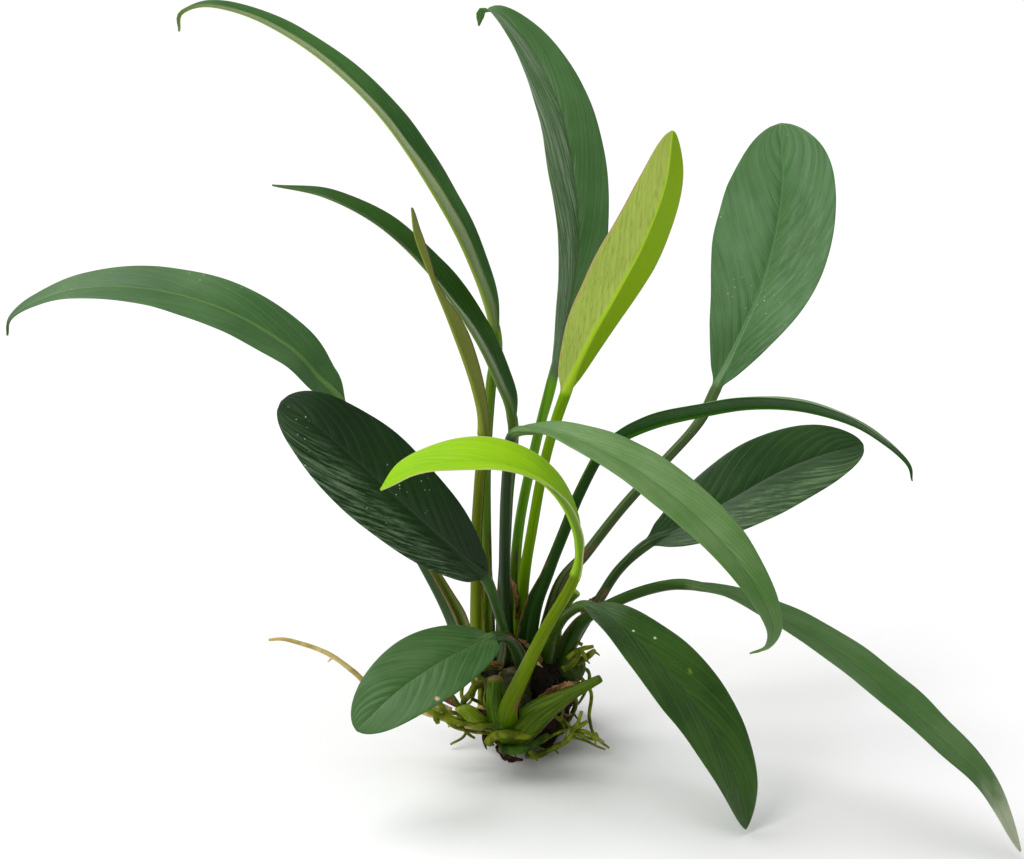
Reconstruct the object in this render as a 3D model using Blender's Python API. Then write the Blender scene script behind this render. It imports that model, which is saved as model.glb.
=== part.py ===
"""Anubias on stone: a clump of fifteen long-stalked leaves on a creeping rhizome whose roots grip a small
dark stone. Z is up, the origin lies on the stone's flat underside, and the leaf fan spreads along X.

Every leaf is one lofted body: a round stalk that widens into a flat, pointed blade folded along its midrib.
Points are given in millimetres and turned into metres when a mesh is made.
"""
import math

import bmesh
import bpy
from mathutils import Matrix, Vector, noise
from mathutils.bvhtree import BVHTree

MM = 0.001
GAP = 0.35                      # air left between two touching pieces, mm
UP = Vector((0.0, 0.0, 1.0))

# ---- driving dimensions, mm ----
STALK_RADIUS = 1.6
BLADE_THICKNESS = 0.9
BLADE_TIP_WIDTH = 0.5
STALK_STATIONS = 7
BLADE_STATIONS = 13
SOCKET_LENGTH = 7.0             # of the hole that a stalk or root stands in; it opens into the air
SOCKET_SLACK = 1.18             # covers the flats of the hole's sides
SOCKET_SIDES = 6
CLINGING_SOCKET_LENGTH = 11.0   # a clinging root runs under the rhizome's edge before it is free
RHIZOME_SEAT_GAP = 0.6          # between the rhizome and the hollow that it lies in
WELD = 0.02                     # points this close are one after a cut
ROOT_STATIONS = 15
ROOT_SIDES = 5
ROOT_CLEARANCE = 0.6            # between a clinging root's skin and the stone

STONE_CENTRE = Vector((-1.0, 6.0, 12.5))
STONE_HALF_SIZE = Vector((12.5, 19.5, 14.5))
STONE_SQUARENESS = 2.8
STONE_ROUGHNESS = 0.09

RHIZOME_GRAIN = 2.6             # size of the faces of the rhizome's skin, mm
RHIZOME_BRANCHES = (            # chains of (centre, radius)
    (((-20, 4, 20), 4.0), ((-12, 6, 22), 5.2), ((-4, 4, 23), 6.2), ((4, 2, 22.5), 6.0), ((11, 1, 21), 4.6)),
    (((-3, 1, 22), 5.5), ((-4, -9, 20.5), 5.2), ((-5, -16, 15.5), 4.8), ((-4, -19, 11), 4.2)),
)


class Leaf:
    """One leaf: a stalk path, a blade path that continues it, and how the blade is turned and folded."""

    def __init__(self, stalk, blade, half_width, turn=(0, 0, 0), fold=(20, 15, 20), swell=(0.55, 0.85),
                 stalk_radius=STALK_RADIUS):
        self.stalk = stalk                  # from the rhizome to the foot of the blade
        self.blade = blade                  # from just past the foot to the tip
        self.half_width = half_width
        self.turn = turn                    # degrees that the upper face turns to the front, foot to tip
        self.fold = fold                    # degrees that each half rises from flat, foot to tip
        self.swell = swell                  # powers of the outline; the blade is widest at a / (a + b)
        self.stalk_radius = stalk_radius


LEAVES = {
    # upper left, long and narrow, arching high over to the left
    "leaf_01": Leaf([(-12, 7, 25.5), (-12, 7.5, 52), (-12, 9.5, 78), (-10.5, 12, 100), (-9, 14, 113)],
                    [(-15, 16, 131), (-24, 18, 149), (-39, 22, 171), (-55, 27, 186), (-72, 32, 196),
                     (-86, 34, 200), (-94, 35, 198), (-95, 35, 193)],
                    8.5, turn=(-8, -5, 0), fold=(36, 26, 22)),
    # below it, a shorter arch to the left
    "leaf_02": Leaf([(-7.5, 6, 25.5), (-7, 7, 45), (-6, 6, 68), (-4.5, 4, 91)],
                    [(-9, 4, 104), (-15.5, 5, 117), (-26.5, 8, 132), (-40, 13, 144), (-55, 18, 151),
                     (-70, 24, 153)],
                    8, turn=(-10, -5, 0), fold=(34, 20, 20)),
    # far left, low arch, upper face seen
    "leaf_03": Leaf([(-18, 3, 22.5), (-22, 10, 33), (-29, 15, 46), (-41, 20, 66), (-52, 24, 90)],
                    [(-59, 25, 98), (-67, 27, 106), (-84, 30, 115.5), (-104, 32, 121), (-124, 32, 121.5),
                     (-137, 31, 118), (-144, 30, 113.5), (-145, 29, 109)],
                    10.6, turn=(30, 22, 10), fold=(16, 10, 12)),
    # left of centre, broad and dark, facing the front
    "leaf_04": Leaf([(-7.5, -5, 23.5), (-6.5, -10, 33), (-8.5, -17, 45), (-12, -22, 56.5)],
                    [(-18, -25, 63.5), (-31.5, -28, 77.5), (-44.5, -27, 90), (-56.5, -24, 100),
                     (-65.5, -21, 105.5)],
                    12.6, turn=(55, 60, 55), fold=(12, 8, 6), swell=(0.65, 0.5)),
    # low front left, short and broad
    "leaf_05": Leaf([(-1.5, -7.5, 23), (-3.5, -15, 33), (-6, -21, 39), (-10, -27, 41.5)],
                    [(-16, -35, 42), (-25, -44, 40.5), (-35, -53, 36.5), (-45, -60, 29)],
                    11.2, turn=(20, 25, 20), fold=(12, 8, 6), swell=(0.6, 0.55)),
    # top centre, upright, upper face to the front, tip curled over to the left
    "leaf_06": Leaf([(-3.5, 9, 24), (-4, 11, 42), (-2.5, 14, 60), (2, 17, 82), (6, 19, 98)],
                    [(10, 22, 116), (13, 27, 135), (12, 31, 152), (8.5, 36, 170), (2, 42, 184), (-4, 45, 192),
                     (-9, 47, 196), (-13, 47, 196), (-14, 46, 192.5)],
                    10.2, turn=(0, 0, 0), fold=(25, 14, 15), swell=(0.95, 0.85)),
    # right of it, young and bright, folded, its underside to the front
    "leaf_07": Leaf([(-2.5, 4, 26), (-2, 1, 45), (0.5, -4, 64), (4, -9, 86), (9, -14, 105)],
                    [(15.5, -17, 121), (22.5, -20, 135), (29, -23, 149), (34, -27, 165), (35.5, -29, 179.5)],
                    9.6, turn=(-40, -42, -30), fold=(30, 26, 20), swell=(0.65, 0.6)),
    # upper right, broad oval on a long stalk, upper face to the front
    "leaf_08": Leaf([(4, 7, 24.5), (8.5, 10, 42), (16, 13, 51), (26, 17, 63), (37, 22, 74), (47, 27, 84),
                     (52, 30, 93)],
                    [(59, 34, 107), (64.5, 38, 119), (69, 43, 133), (71.5, 49, 148), (71, 57, 163.5)],
                    18.2, turn=(5, 8, 8), fold=(16, 8, 5), swell=(0.9, 0.58)),
    # right, long low arch seen from the side
    "leaf_09": Leaf([(-0.5, -1.5, 26.5), (1.5, -5, 42), (5, -9, 54), (9, -12, 66), (13, -15, 78),
                     (19, -18, 91)],
                    [(25, -20, 95.5), (34, -23, 100), (45, -26, 103.5), (57, -28, 106), (70, -30, 106),
                     (83, -31, 102.5), (92, -31, 97), (98, -31, 91.5), (99.5, -31, 87)],
                    7.6, turn=(-15, -16, -10), fold=(30, 22, 20)),
    # centre right, arching to the right, forwards and down
    "leaf_10": Leaf([(-6, 0, 26.5), (-7, -5, 45), (-7, -11, 63), (-6.5, -15, 80), (-5, -20, 95.5)],
                    [(1, -24, 98.5), (9, -30, 99), (19, -38, 97), (29, -45, 93), (40, -53, 86.5),
                     (50, -60, 78), (57, -65, 69), (60.5, -68, 61), (59, -69, 56), (55, -69, 54)],
                    8.3, turn=(5, 10, 0), fold=(20, 12, 12), swell=(0.75, 0.8)),
    # front centre, young and lime green, arching over to the left
    "leaf_11": Leaf([(-6, -20, 13), (-5, -26, 22), (-0.5, -31, 35), (4, -36, 47), (11.5, -41, 64)],
                    [(12, -45, 75), (9.5, -48, 84), (5, -51, 91.5), (-1, -54, 97), (-11, -56, 100.5),
                     (-22, -57, 100.5), (-31, -57, 98.5), (-38, -57, 93.5)],
                    9.5, turn=(15, 14, 5), fold=(26, 18, 15), swell=(1.2, 0.85)),
    # right, oval and dark, behind the others
    "leaf_12": Leaf([(9.5, 4, 22.5), (14, 8, 30), (19, 11, 37), (25, 15, 45), (33, 19, 51)],
                    [(42, 22, 54.5), (56, 27, 61), (70, 32, 67.5), (83, 35, 72), (95, 38, 74)],
                    12.6, turn=(35, 38, 35), fold=(14, 8, 6), swell=(0.7, 0.55)),
    # low right, the longest, reaching forwards and down almost to the ground
    "leaf_13": Leaf([(9, -2, 24), (14, -5, 37), (22, -10, 44.5), (32, -17, 51.5), (41, -24, 55.5)],
                    [(52, -31, 55.5), (65, -40, 52), (79, -48, 46), (92, -56, 38), (104, -63, 29),
                     (116, -69, 18), (125, -75, 2)],
                    7.9, turn=(0, 2, 0), fold=(20, 10, 10), swell=(0.85, 0.75)),
    # low front right, glossy, bending forwards and down to the ground
    "leaf_14": Leaf([(4.5, -2.8, 24.5), (6.5, -9, 36), (10, -17, 44.5), (15, -23, 49)],
                    [(22, -31, 48), (30, -38, 43), (37, -44, 37), (43.3, -48, 30), (49, -52, 22),
                     (53.5, -56, 12), (56, -60, 1)],
                    11.5, turn=(0, 4, 5), fold=(14, 9, 10), swell=(0.65, 0.7)),
    # left of centre, still rolled up, with a small pointed blade
    "leaf_15": Leaf([(-14.5, 0.5, 24.5), (-14.5, 0, 42), (-14.5, -1, 60), (-13.5, -3, 78), (-12.5, -5, 91)],
                    [(-15, -7, 105), (-21, -9, 123), (-26, -10, 136), (-30, -10, 147), (-31, -10, 155)],
                    3.2, turn=(0, 0, 0), fold=(55, 55, 55), swell=(0.5, 0.6)),
}

# ---- cut stalks and the resting bud: points and radius, mm ----
STUBS = {
    "stub_upright": ([(6.5, 1.5, 26), (7.5, 1, 37), (12.5, 2, 44)], 1.8),
    "stub_front_right": ([(-1.5, -19.5, 11.5), (3, -22, 16), (10, -23, 21), (19, -24, 27)], 2.3),
    "stub_front_left": ([(-6.5, -17.5, 18), (-8.5, -19.5, 22), (-10, -20.5, 27)], 2.3),
    "bud_front_left": ([(-8.5, -15, 13.5), (-13, -17, 16.5), (-18, -18.5, 21.5)], 1.7),
}

# ---- roots: points and radius, mm; a clinging root is laid on the stone ----
FREE_ROOTS = {
    "root_long_left": ([(-6, -17, 9.5), (-14, -14, 9), (-24, -13, 12), (-33, -13, 15.5), (-42, -13, 20),
                        (-49, -13, 26.5), (-56, -14, 32), (-66, -14, 35.5), (-71, -14, 35.5)], 0.8),
    "root_low_left": ([(-7.5, -13, 17.5), (-15, -12, 14), (-23, -16, 15), (-31, -17, 19)], 0.7),
    "root_front_band": ([(-6.5, -20.5, 8), (-7, -25, 8), (-1, -26.5, 9), (5, -24, 12)], 1.2),
    "root_front_right": ([(-2.5, -20, 9), (1, -20, 4.5), (5, -20, 5.5), (9, -21, 8), (14, -23, 12.5),
                          (20, -25, 10)], 0.75),
    "root_right_stub": ([(10, -0.5, 22), (15, -2, 25), (18, -3, 28)], 1.1),
}
CLINGING_ROOTS = {
    "root_clinging_right": ([(12, 1, 19.5), (13, 3, 15), (12, 5, 9), (10, 6, 4), (8.5, 6, 1.5)], 0.8),
    "root_clinging_back": ([(1, 8, 22), (1, 13, 28), (0, 20, 27), (-1, 26, 19), (-2, 27, 9),
                            (-3, 25, 2)], 0.9),
    "root_clinging_back_left": ([(-9, 8, 22), (-12, 14, 22), (-14, 19, 15), (-13, 21, 8),
                                 (-11, 21, 2)], 0.8),
    "root_clinging_front": ([(-10, 2, 21), (-14, -1, 17), (-14, -4, 11), (-12, -7, 6),
                             (-10, -8, 1.5)], 0.75),
}


# ---- curves ----

def smooth_path(points, per_span=12):
    """Points along a Catmull-Rom curve through the given points, with the index of each given point."""
    knots = [Vector(p) for p in points]
    ends = [knots[0] * 2 - knots[1]] + knots + [knots[-1] * 2 - knots[-2]]
    path = []
    for a, b, c, d in zip(ends, ends[1:], ends[2:], ends[3:]):
        for step in range(per_span):
            t = step / per_span
            path.append(0.5 * (2 * b + (c - a) * t + (2 * a - 5 * b + 4 * c - d) * t ** 2
                               + (3 * b - a - 3 * c + d) * t ** 3))
    path.append(knots[-1])
    return path, [index * per_span for index in range(len(knots))]


def along(path, count):
    """The path's points, resampled to an even spacing."""
    lengths = [0.0]
    for a, b in zip(path, path[1:]):
        lengths.append(lengths[-1] + (b - a).length)
    samples = []
    span = 0
    for index in range(count):
        target = lengths[-1] * index / (count - 1)
        while span < len(path) - 2 and lengths[span + 1] < target:
            span += 1
        part = (target - lengths[span]) / max(lengths[span + 1] - lengths[span], 1e-9)
        samples.append(path[span].lerp(path[span + 1], min(part, 1.0)))
    return samples


def direction_at(path, index):
    """Unit tangent of a path at one of its points."""
    return (path[min(index + 1, len(path) - 1)] - path[max(index - 1, 0)]).normalized()


def between(three, t):
    """Value at t of two straight runs through the values at 0, 0.5 and 1."""
    first, middle, last = three
    if t < 0.5:
        return first + (middle - first) * t * 2
    return middle + (last - middle) * (t * 2 - 1)


# ---- meshes and objects ----

def add_object(name, mesh, material):
    """Link a mesh as an object with one material and smooth rounded faces."""
    mesh.materials.clear()
    mesh.materials.append(material)
    mesh.shade_smooth()
    mesh.set_sharp_from_angle(angle=math.radians(45))
    created = bpy.data.objects.new(name, mesh)
    bpy.context.scene.collection.objects.link(created)
    return created


def loft(name, rings):
    """One closed mesh through rings of points in mm, flat at both ends."""
    shape = bmesh.new()
    rows = [[shape.verts.new(p * MM) for p in ring] for ring in rings]
    sides = len(rows[0])
    for lower, upper in zip(rows, rows[1:]):
        for k in range(sides):
            shape.faces.new((lower[k], lower[(k + 1) % sides], upper[(k + 1) % sides], upper[k]))
    shape.faces.new(list(reversed(rows[0])))
    shape.faces.new(rows[-1])
    bmesh.ops.triangulate(shape, faces=shape.faces[:])
    mesh = bpy.data.meshes.new(name)
    shape.to_mesh(mesh)
    shape.free()
    return mesh


def tube_rings(path, radii, sides):
    """Rings of a tube along a path, carried along without twisting."""
    rings = []
    side = direction_at(path, 0).cross(UP)
    if side.length < 0.1:
        side = Vector((1.0, 0.0, 0.0))
    for index, centre in enumerate(path):
        tangent = direction_at(path, index)
        side = (side - side.dot(tangent) * tangent).normalized()
        other = tangent.cross(side)
        rings.append([centre + radii[index] * (math.cos(a) * side + math.sin(a) * other)
                      for a in (2 * math.pi * k / sides for k in range(sides))])
    return rings


# ---- leaves ----

def leaf_frame(leaf, tangent, t):
    """Side and upper-face directions of a leaf at t along its blade."""
    foot, tip = Vector(leaf.stalk[-1]), Vector(leaf.blade[-1])
    outward = Vector((tip.x - foot.x, tip.y - foot.y, 0.0)).normalized()
    side = UP.cross(outward)
    side = (side - side.dot(tangent) * tangent).normalized()
    face = tangent.cross(side)
    angle = math.radians(between(leaf.turn, t)) * (1 if outward.x > 0 else -1)
    return (math.cos(angle) * side + math.sin(angle) * face,
            math.cos(angle) * face - math.sin(angle) * side)


def stalk_ring(centre, side, face, radius):
    """Eight points around a stalk, in the order of blade_ring."""
    return [centre + radius * (math.cos(a) * side + math.sin(a) * face)
            for a in (math.pi * k / 4 for k in range(8))]


def blade_ring(leaf, centre, side, face, t):
    """Eight points around a blade: an edge, the upper face, the other edge, the lower face with its keel."""
    a, b = leaf.swell
    widest = a / (a + b)
    outline = (t / widest) ** a * ((1 - t) / (1 - widest)) ** b
    thin = leaf.stalk_radius * (1 - t) ** 4
    width = max(math.hypot(leaf.half_width * outline, thin), BLADE_TIP_WIDTH)
    fold = math.radians(between(leaf.fold, t))
    half = BLADE_THICKNESS / 2
    keel = half + 0.5 * (1 - t) + 0.6 * thin
    crown = half * 0.6 + 0.6 * thin

    def spot(q, lift):
        return centre + side * (q * width * math.cos(fold)) + face * (abs(q) * width * math.sin(fold) + lift)

    return [spot(1, 0), spot(0.5, half + 0.3 * thin), spot(0, crown), spot(-0.5, half + 0.3 * thin),
            spot(-1, 0), spot(-0.5, -half - 0.3 * thin), spot(0, -keel), spot(0.5, -half - 0.3 * thin)]


def leaf_centres(leaf):
    """Stations along the middle of a leaf from the rhizome to the tip."""
    path, marks = smooth_path(leaf.stalk + leaf.blade)
    foot = marks[len(leaf.stalk) - 1]
    return along(path[:foot + 1], STALK_STATIONS) + along(path[foot:], BLADE_STATIONS)[1:]


def leaf_rings(leaf, centres):
    """Rings of a whole leaf around its stations."""
    rings = []
    for index, centre in enumerate(centres):
        tangent = direction_at(centres, index)
        t = max(index - STALK_STATIONS + 1, 0) / (BLADE_STATIONS - 1)
        side, face = leaf_frame(leaf, tangent, t)
        if t == 0:
            rings.append(stalk_ring(centre, side, face, leaf.stalk_radius))
        else:
            rings.append(blade_ring(leaf, centre, side, face, t))
    return rings


# ---- rhizome and stone ----

def rhizome_skin(extra=0.0):
    """The branching rhizome as one smooth skin over overlapping round links, thicker by the extra."""
    shape = bmesh.new()
    for branch in RHIZOME_BRANCHES:
        path, marks = smooth_path([centre for centre, _ in branch], per_span=4)
        for index, centre in enumerate(path):
            span = min(index // 4, len(branch) - 2)
            part = index / 4 - span
            radius = branch[span][1] * (1 - part) + branch[span + 1][1] * part + extra
            ridge = 1.0 + 0.05 * math.cos(index * math.pi)
            bmesh.ops.create_uvsphere(shape, u_segments=20, v_segments=12, radius=radius * ridge * MM,
                                      matrix=Matrix.Translation(centre * MM))
    mesh = bpy.data.meshes.new("rhizome_links")
    shape.to_mesh(mesh)
    shape.free()
    links = bpy.data.objects.new("rhizome_links", mesh)
    bpy.context.scene.collection.objects.link(links)
    skin = links.modifiers.new("skin", 'REMESH')
    skin.mode = 'VOXEL'
    skin.voxel_size = RHIZOME_GRAIN * MM
    soften = links.modifiers.new("soften", 'SMOOTH')
    soften.iterations = 3
    soften.factor = 0.5
    return take_result(links)


def take_result(source):
    """The evaluated mesh of an object, which is then removed."""
    bpy.context.view_layer.update()
    evaluated = source.evaluated_get(bpy.context.evaluated_depsgraph_get())
    mesh = bpy.data.meshes.new_from_object(evaluated)
    bpy.data.objects.remove(source)
    return mesh


def cut_away(mesh, cutter_mesh, crossing=False):
    """A mesh with the cutter's volume taken out of it; crossing says that the cutter's parts overlap."""
    body = bpy.data.objects.new("body", mesh)
    cutter = bpy.data.objects.new("cutter", cutter_mesh)
    cutter.hide_render = True
    cutter.display_type = 'WIRE'
    for item in (body, cutter):
        bpy.context.scene.collection.objects.link(item)
    cut = body.modifiers.new("cut", 'BOOLEAN')
    cut.object = cutter
    cut.solver = 'EXACT'
    cut.use_self = crossing
    result = take_result(body)
    bpy.data.objects.remove(cutter)
    return result


def largest_body(mesh):
    """A mesh in triangles, without the slivers that a cut left loose, even where one touches a corner."""
    shape = bmesh.new()
    shape.from_mesh(mesh)
    unseen = set(shape.faces)
    bodies = []
    while unseen:
        reached = [unseen.pop()]
        body = []
        while reached:
            face = reached.pop()
            body.append(face)
            for edge in face.edges:
                for other in edge.link_faces:
                    if other in unseen:
                        unseen.discard(other)
                        reached.append(other)
        bodies.append(body)
    bodies.sort(key=len)
    for body in bodies[:-1]:
        bmesh.ops.delete(shape, geom=body, context='FACES')
    bmesh.ops.remove_doubles(shape, verts=shape.verts[:], dist=WELD * MM)
    bmesh.ops.triangulate(shape, faces=shape.faces[:], ngon_method='BEAUTY')
    shape.to_mesh(mesh)
    shape.free()
    return mesh


def surface_of(mesh):
    """A mesh's faces, ready for nearest points and crossings."""
    return BVHTree.FromPolygons([v.co for v in mesh.vertices], [tuple(p.vertices) for p in mesh.polygons])


def touching(first, second):
    """Whether the surfaces of two meshes cross."""
    return bool(surface_of(first).overlap(surface_of(second)))


def joined(meshes):
    """Several meshes as one."""
    shape = bmesh.new()
    for mesh in meshes:
        shape.from_mesh(mesh)
    mesh = bpy.data.meshes.new("joined")
    shape.to_mesh(mesh)
    shape.free()
    return mesh


def stone_block():
    """A rounded, lumpy pebble cut flat at z = 0."""
    shape = bmesh.new()
    bmesh.ops.create_icosphere(shape, subdivisions=3, radius=1.0)
    for vertex in shape.verts:
        heading = vertex.co.normalized()
        spread = sum(abs(heading[k] / STONE_HALF_SIZE[k]) ** STONE_SQUARENESS for k in range(3))
        reach = spread ** (-1 / STONE_SQUARENESS)
        lumps = noise.noise(heading * 1.7 + Vector((3.1, 0.4, 1.7))) + 0.4 * noise.noise(heading * 4.5)
        vertex.co = (STONE_CENTRE + heading * reach * (1 + STONE_ROUGHNESS * lumps)) * MM
    floor = bmesh.ops.bisect_plane(shape, geom=shape.verts[:] + shape.edges[:] + shape.faces[:],
                                   plane_co=(0, 0, 0), plane_no=(0, 0, 1), clear_inner=True)
    rim = [item for item in floor["geom_cut"] if isinstance(item, bmesh.types.BMEdge)]
    bmesh.ops.contextual_create(shape, geom=rim)
    bmesh.ops.triangulate(shape, faces=shape.faces[:])
    bmesh.ops.recalc_face_normals(shape, faces=shape.faces[:])
    mesh = bpy.data.meshes.new("stone")
    shape.to_mesh(mesh)
    shape.free()
    return mesh


def on_stone(path, radius, surface):
    """A path moved so that a root of this radius lies on the stone without touching it."""
    laid = [path[0]]
    for point in path[1:]:
        place, normal, _, _ = surface.find_nearest(point * MM)
        outside = place / MM + normal * (radius + ROOT_CLEARANCE)
        if outside.z < radius + GAP:
            outside.z = radius + GAP
        laid.append(outside)
    return laid


# ---- the whole plant ----

def add_material(name, colour, roughness):
    """A Principled material."""
    material = bpy.data.materials.new(name)
    material.use_nodes = True
    shader = material.node_tree.nodes["Principled BSDF"]
    shader.inputs["Base Color"].default_value = (*colour, 1.0)
    shader.inputs["Roughness"].default_value = roughness
    shader.inputs["Metallic"].default_value = 0.0
    return material


def rod(path, radius, sides):
    """A rod with a softened far end."""
    radii = [radius] * len(path)
    radii[-1] = radius * 0.7
    return tube_rings(path, radii, sides)


def socket(stations, radius, length=SOCKET_LENGTH):
    """The hole that the start of a stalk or root stands in; it follows the stations for a length."""
    heading = (stations[1] - stations[0]).normalized()
    holes = [stations[0] - heading * GAP]
    for station in stations[1:]:
        step = station - holes[-1]
        if step.length > length:
            holes.append(holes[-1] + step.normalized() * length)
            break
        length -= step.length
        holes.append(station)
    return loft("socket", tube_rings(holes, [radius * SOCKET_SLACK + GAP] * len(holes), SOCKET_SIDES))


def build():
    dark_leaf = (0.035, 0.11, 0.03)
    young_leaf = (0.28, 0.5, 0.02)
    cut_stalk = (0.3, 0.4, 0.12)
    root_cream = (0.55, 0.45, 0.25)
    sockets = []

    for name, leaf in LEAVES.items():
        colour = young_leaf if name in ("leaf_07", "leaf_11") else dark_leaf
        centres = leaf_centres(leaf)
        add_object(name, loft(name, leaf_rings(leaf, centres)), add_material(name, colour, 0.35))
        sockets.append(socket(centres, leaf.stalk_radius))

    for name, (points, radius) in STUBS.items():
        path = along(smooth_path(points)[0], 8)
        add_object(name, loft(name, rod(path, radius, 8)), add_material(name, cut_stalk, 0.5))
        sockets.append(socket(path, radius))

    skin = rhizome_skin()
    stone = stone_block()
    surface = surface_of(stone)
    roots = {name: (smooth_path(points)[0], radius) for name, (points, radius) in FREE_ROOTS.items()}
    for name, (points, radius) in CLINGING_ROOTS.items():
        laid = on_stone(along(smooth_path(points)[0], 30), radius, surface)
        roots[name] = (on_stone(along(laid, ROOT_STATIONS), radius, surface), radius)
    for name, (path, radius) in roots.items():
        path = along(path, ROOT_STATIONS)
        length = CLINGING_SOCKET_LENGTH if name in CLINGING_ROOTS else SOCKET_LENGTH
        add_object(name, loft(name, rod(path, radius, ROOT_SIDES)), add_material(name, root_cream, 0.6))
        sockets.append(socket(path, radius, length))

    skin = cut_away(skin, joined(sockets), crossing=True)
    stone = cut_away(stone, rhizome_skin(RHIZOME_SEAT_GAP))
    for hole in sockets:
        if touching(hole, stone):
            stone = cut_away(stone, hole)
    add_object("stone", largest_body(stone), add_material("stone", (0.03, 0.025, 0.022), 0.85))
    add_object("rhizome", largest_body(skin), add_material("rhizome", (0.12, 0.14, 0.05), 0.7))


for old in list(bpy.data.objects):
    bpy.data.objects.remove(old)
build()
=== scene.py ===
"""Anubias on stone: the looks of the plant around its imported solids.

Z is up and the leaf fan spreads along X. Points are in millimetres and become metres when a mesh is made.
Every leaf is one lofted body: a stalk with its sheath at the foot, and a blade with midrib and side veins.
"""
import math

import bmesh
import bpy
import numpy as np
from mathutils import Matrix, Vector, noise


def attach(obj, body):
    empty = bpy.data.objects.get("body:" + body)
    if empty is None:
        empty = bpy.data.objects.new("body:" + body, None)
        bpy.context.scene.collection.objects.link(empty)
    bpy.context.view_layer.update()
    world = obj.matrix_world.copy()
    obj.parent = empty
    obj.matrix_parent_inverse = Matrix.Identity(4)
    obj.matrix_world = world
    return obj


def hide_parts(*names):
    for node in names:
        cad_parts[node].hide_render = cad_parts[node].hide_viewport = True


MM = 0.001
UP = Vector((0.0, 0.0, 1.0))

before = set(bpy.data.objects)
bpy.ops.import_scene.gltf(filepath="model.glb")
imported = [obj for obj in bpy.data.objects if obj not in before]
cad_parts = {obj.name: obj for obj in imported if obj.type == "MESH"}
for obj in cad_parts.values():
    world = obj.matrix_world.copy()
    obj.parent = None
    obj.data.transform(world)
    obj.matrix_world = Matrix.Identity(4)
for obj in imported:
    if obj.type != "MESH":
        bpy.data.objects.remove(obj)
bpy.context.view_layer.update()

# ---- sizes shared with the solids, mm ----
STALK_RADIUS = 1.6
STONE_CENTRE = Vector((-1.0, 6.0, 12.5))
STONE_HALF_SIZE = Vector((12.5, 19.5, 14.5))
STONE_SQUARENESS = 2.8
STONE_ROUGHNESS = 0.09
RHIZOME_BRANCHES = (            # chains of (centre, radius)
    (((-20, 4, 20), 4.0), ((-12, 6, 22), 5.2), ((-4, 4, 23), 6.2), ((4, 2, 22.5), 6.0), ((11, 1, 21), 4.6)),
    (((-3, 1, 22), 5.5), ((-4, -9, 20.5), 5.2), ((-5, -16, 15.5), 4.8), ((-4, -19, 11), 4.2)),
)

# ---- sizes of the looks only, mm ----
STALK_ROWS = 56
BLADE_ROWS = 120
HALF_COLUMNS = 18               # faces across one half of a blade
LAMINA = 0.26                   # half the thickness of a blade
ARCH = 0.04                     # how far each half of a blade bulges up, as a share of its width
SHEATH_FOLD = 62                # degrees that a sheath's wings rise round the stalk
SCAR_SPACING = 3.4              # between the rhizome's old leaf scars
RHIZOME_STEPS = 6               # balls between two given points of the rhizome
RAG_COLUMNS = 9

# ---- lights and camera ----
SKY_STRENGTH = 0.42
SUN_STRENGTH = 2.6
SUN_SPREAD = math.radians(55)
SUN_FROM = Vector((-0.45, 0.18, 1.0))
CAMERA_TARGET = Vector((-0.0049, 0.0, 0.091))
CAMERA_DISTANCE = 0.8
CAMERA_HEIGHT = math.radians(18)
CAMERA_LENS = 104.06

# ---- colours, linear ----
VEIN = (0.085, 0.200, 0.060)
UNDER = (0.095, 0.220, 0.040)
RIB = (0.200, 0.330, 0.080)
BROWN = (0.085, 0.040, 0.012)
PALE_BROWN = (0.22, 0.13, 0.05)
# Dark brown of the patches low on each stalk.
LOW_STALK_DARK = (0.03, 0.022, 0.01)
FLECK = (0.42, 0.5, 0.42)
GREEN_ROOT = ((0.2, 0.24, 0.008), (0.06, 0.085, 0.002), (0.26, 0.22, 0.05))
CREAM_ROOT = ((0.62, 0.5, 0.2), (0.4, 0.3, 0.1), (0.5, 0.33, 0.12))
DARK_ROOT = ((0.045, 0.11, 0.002), (0.012, 0.032, 0.0), (0.05, 0.08, 0.002))


class Leaf:
    """One leaf: a stalk path, a blade path that goes on from it, the blade's shape, and its looks."""

    def __init__(self, stalk, blade, half_width, turn=(0, 0, 0), fold=(20, 15, 20), swell=(0.55, 0.85),
                 sheath=(0.4, 1.6), wave=0.5, veins=15, vein_lean=0.36, pucker=0.1, outline=None,
                 stalk_radii=None, **look):
        self.stalk = stalk
        self.blade = blade
        self.half_width = half_width
        self.turn = turn                # degrees that the upper face turns to the front: foot, middle, tip
        self.fold = fold                # degrees that each half rises from flat: foot, middle, tip
        self.swell = swell              # powers of the outline; the blade is widest at a / (a + b)
        self.sheath = sheath            # share of the stalk that it covers, how far its wings stand out
        self.wave = wave                # height of the edge's waves
        self.veins = veins              # side veins on each half
        self.vein_lean = vein_lean      # share of the blade's length that a vein runs forward
        self.pucker = pucker            # height of the ridges between veins
        self.outline = outline          # (t, half width) pairs in place of swell
        self.stalk_radii = stalk_radii  # (s, radius) pairs in place of the stalk's radius
        self.look = look                # what leaf_material takes


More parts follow.
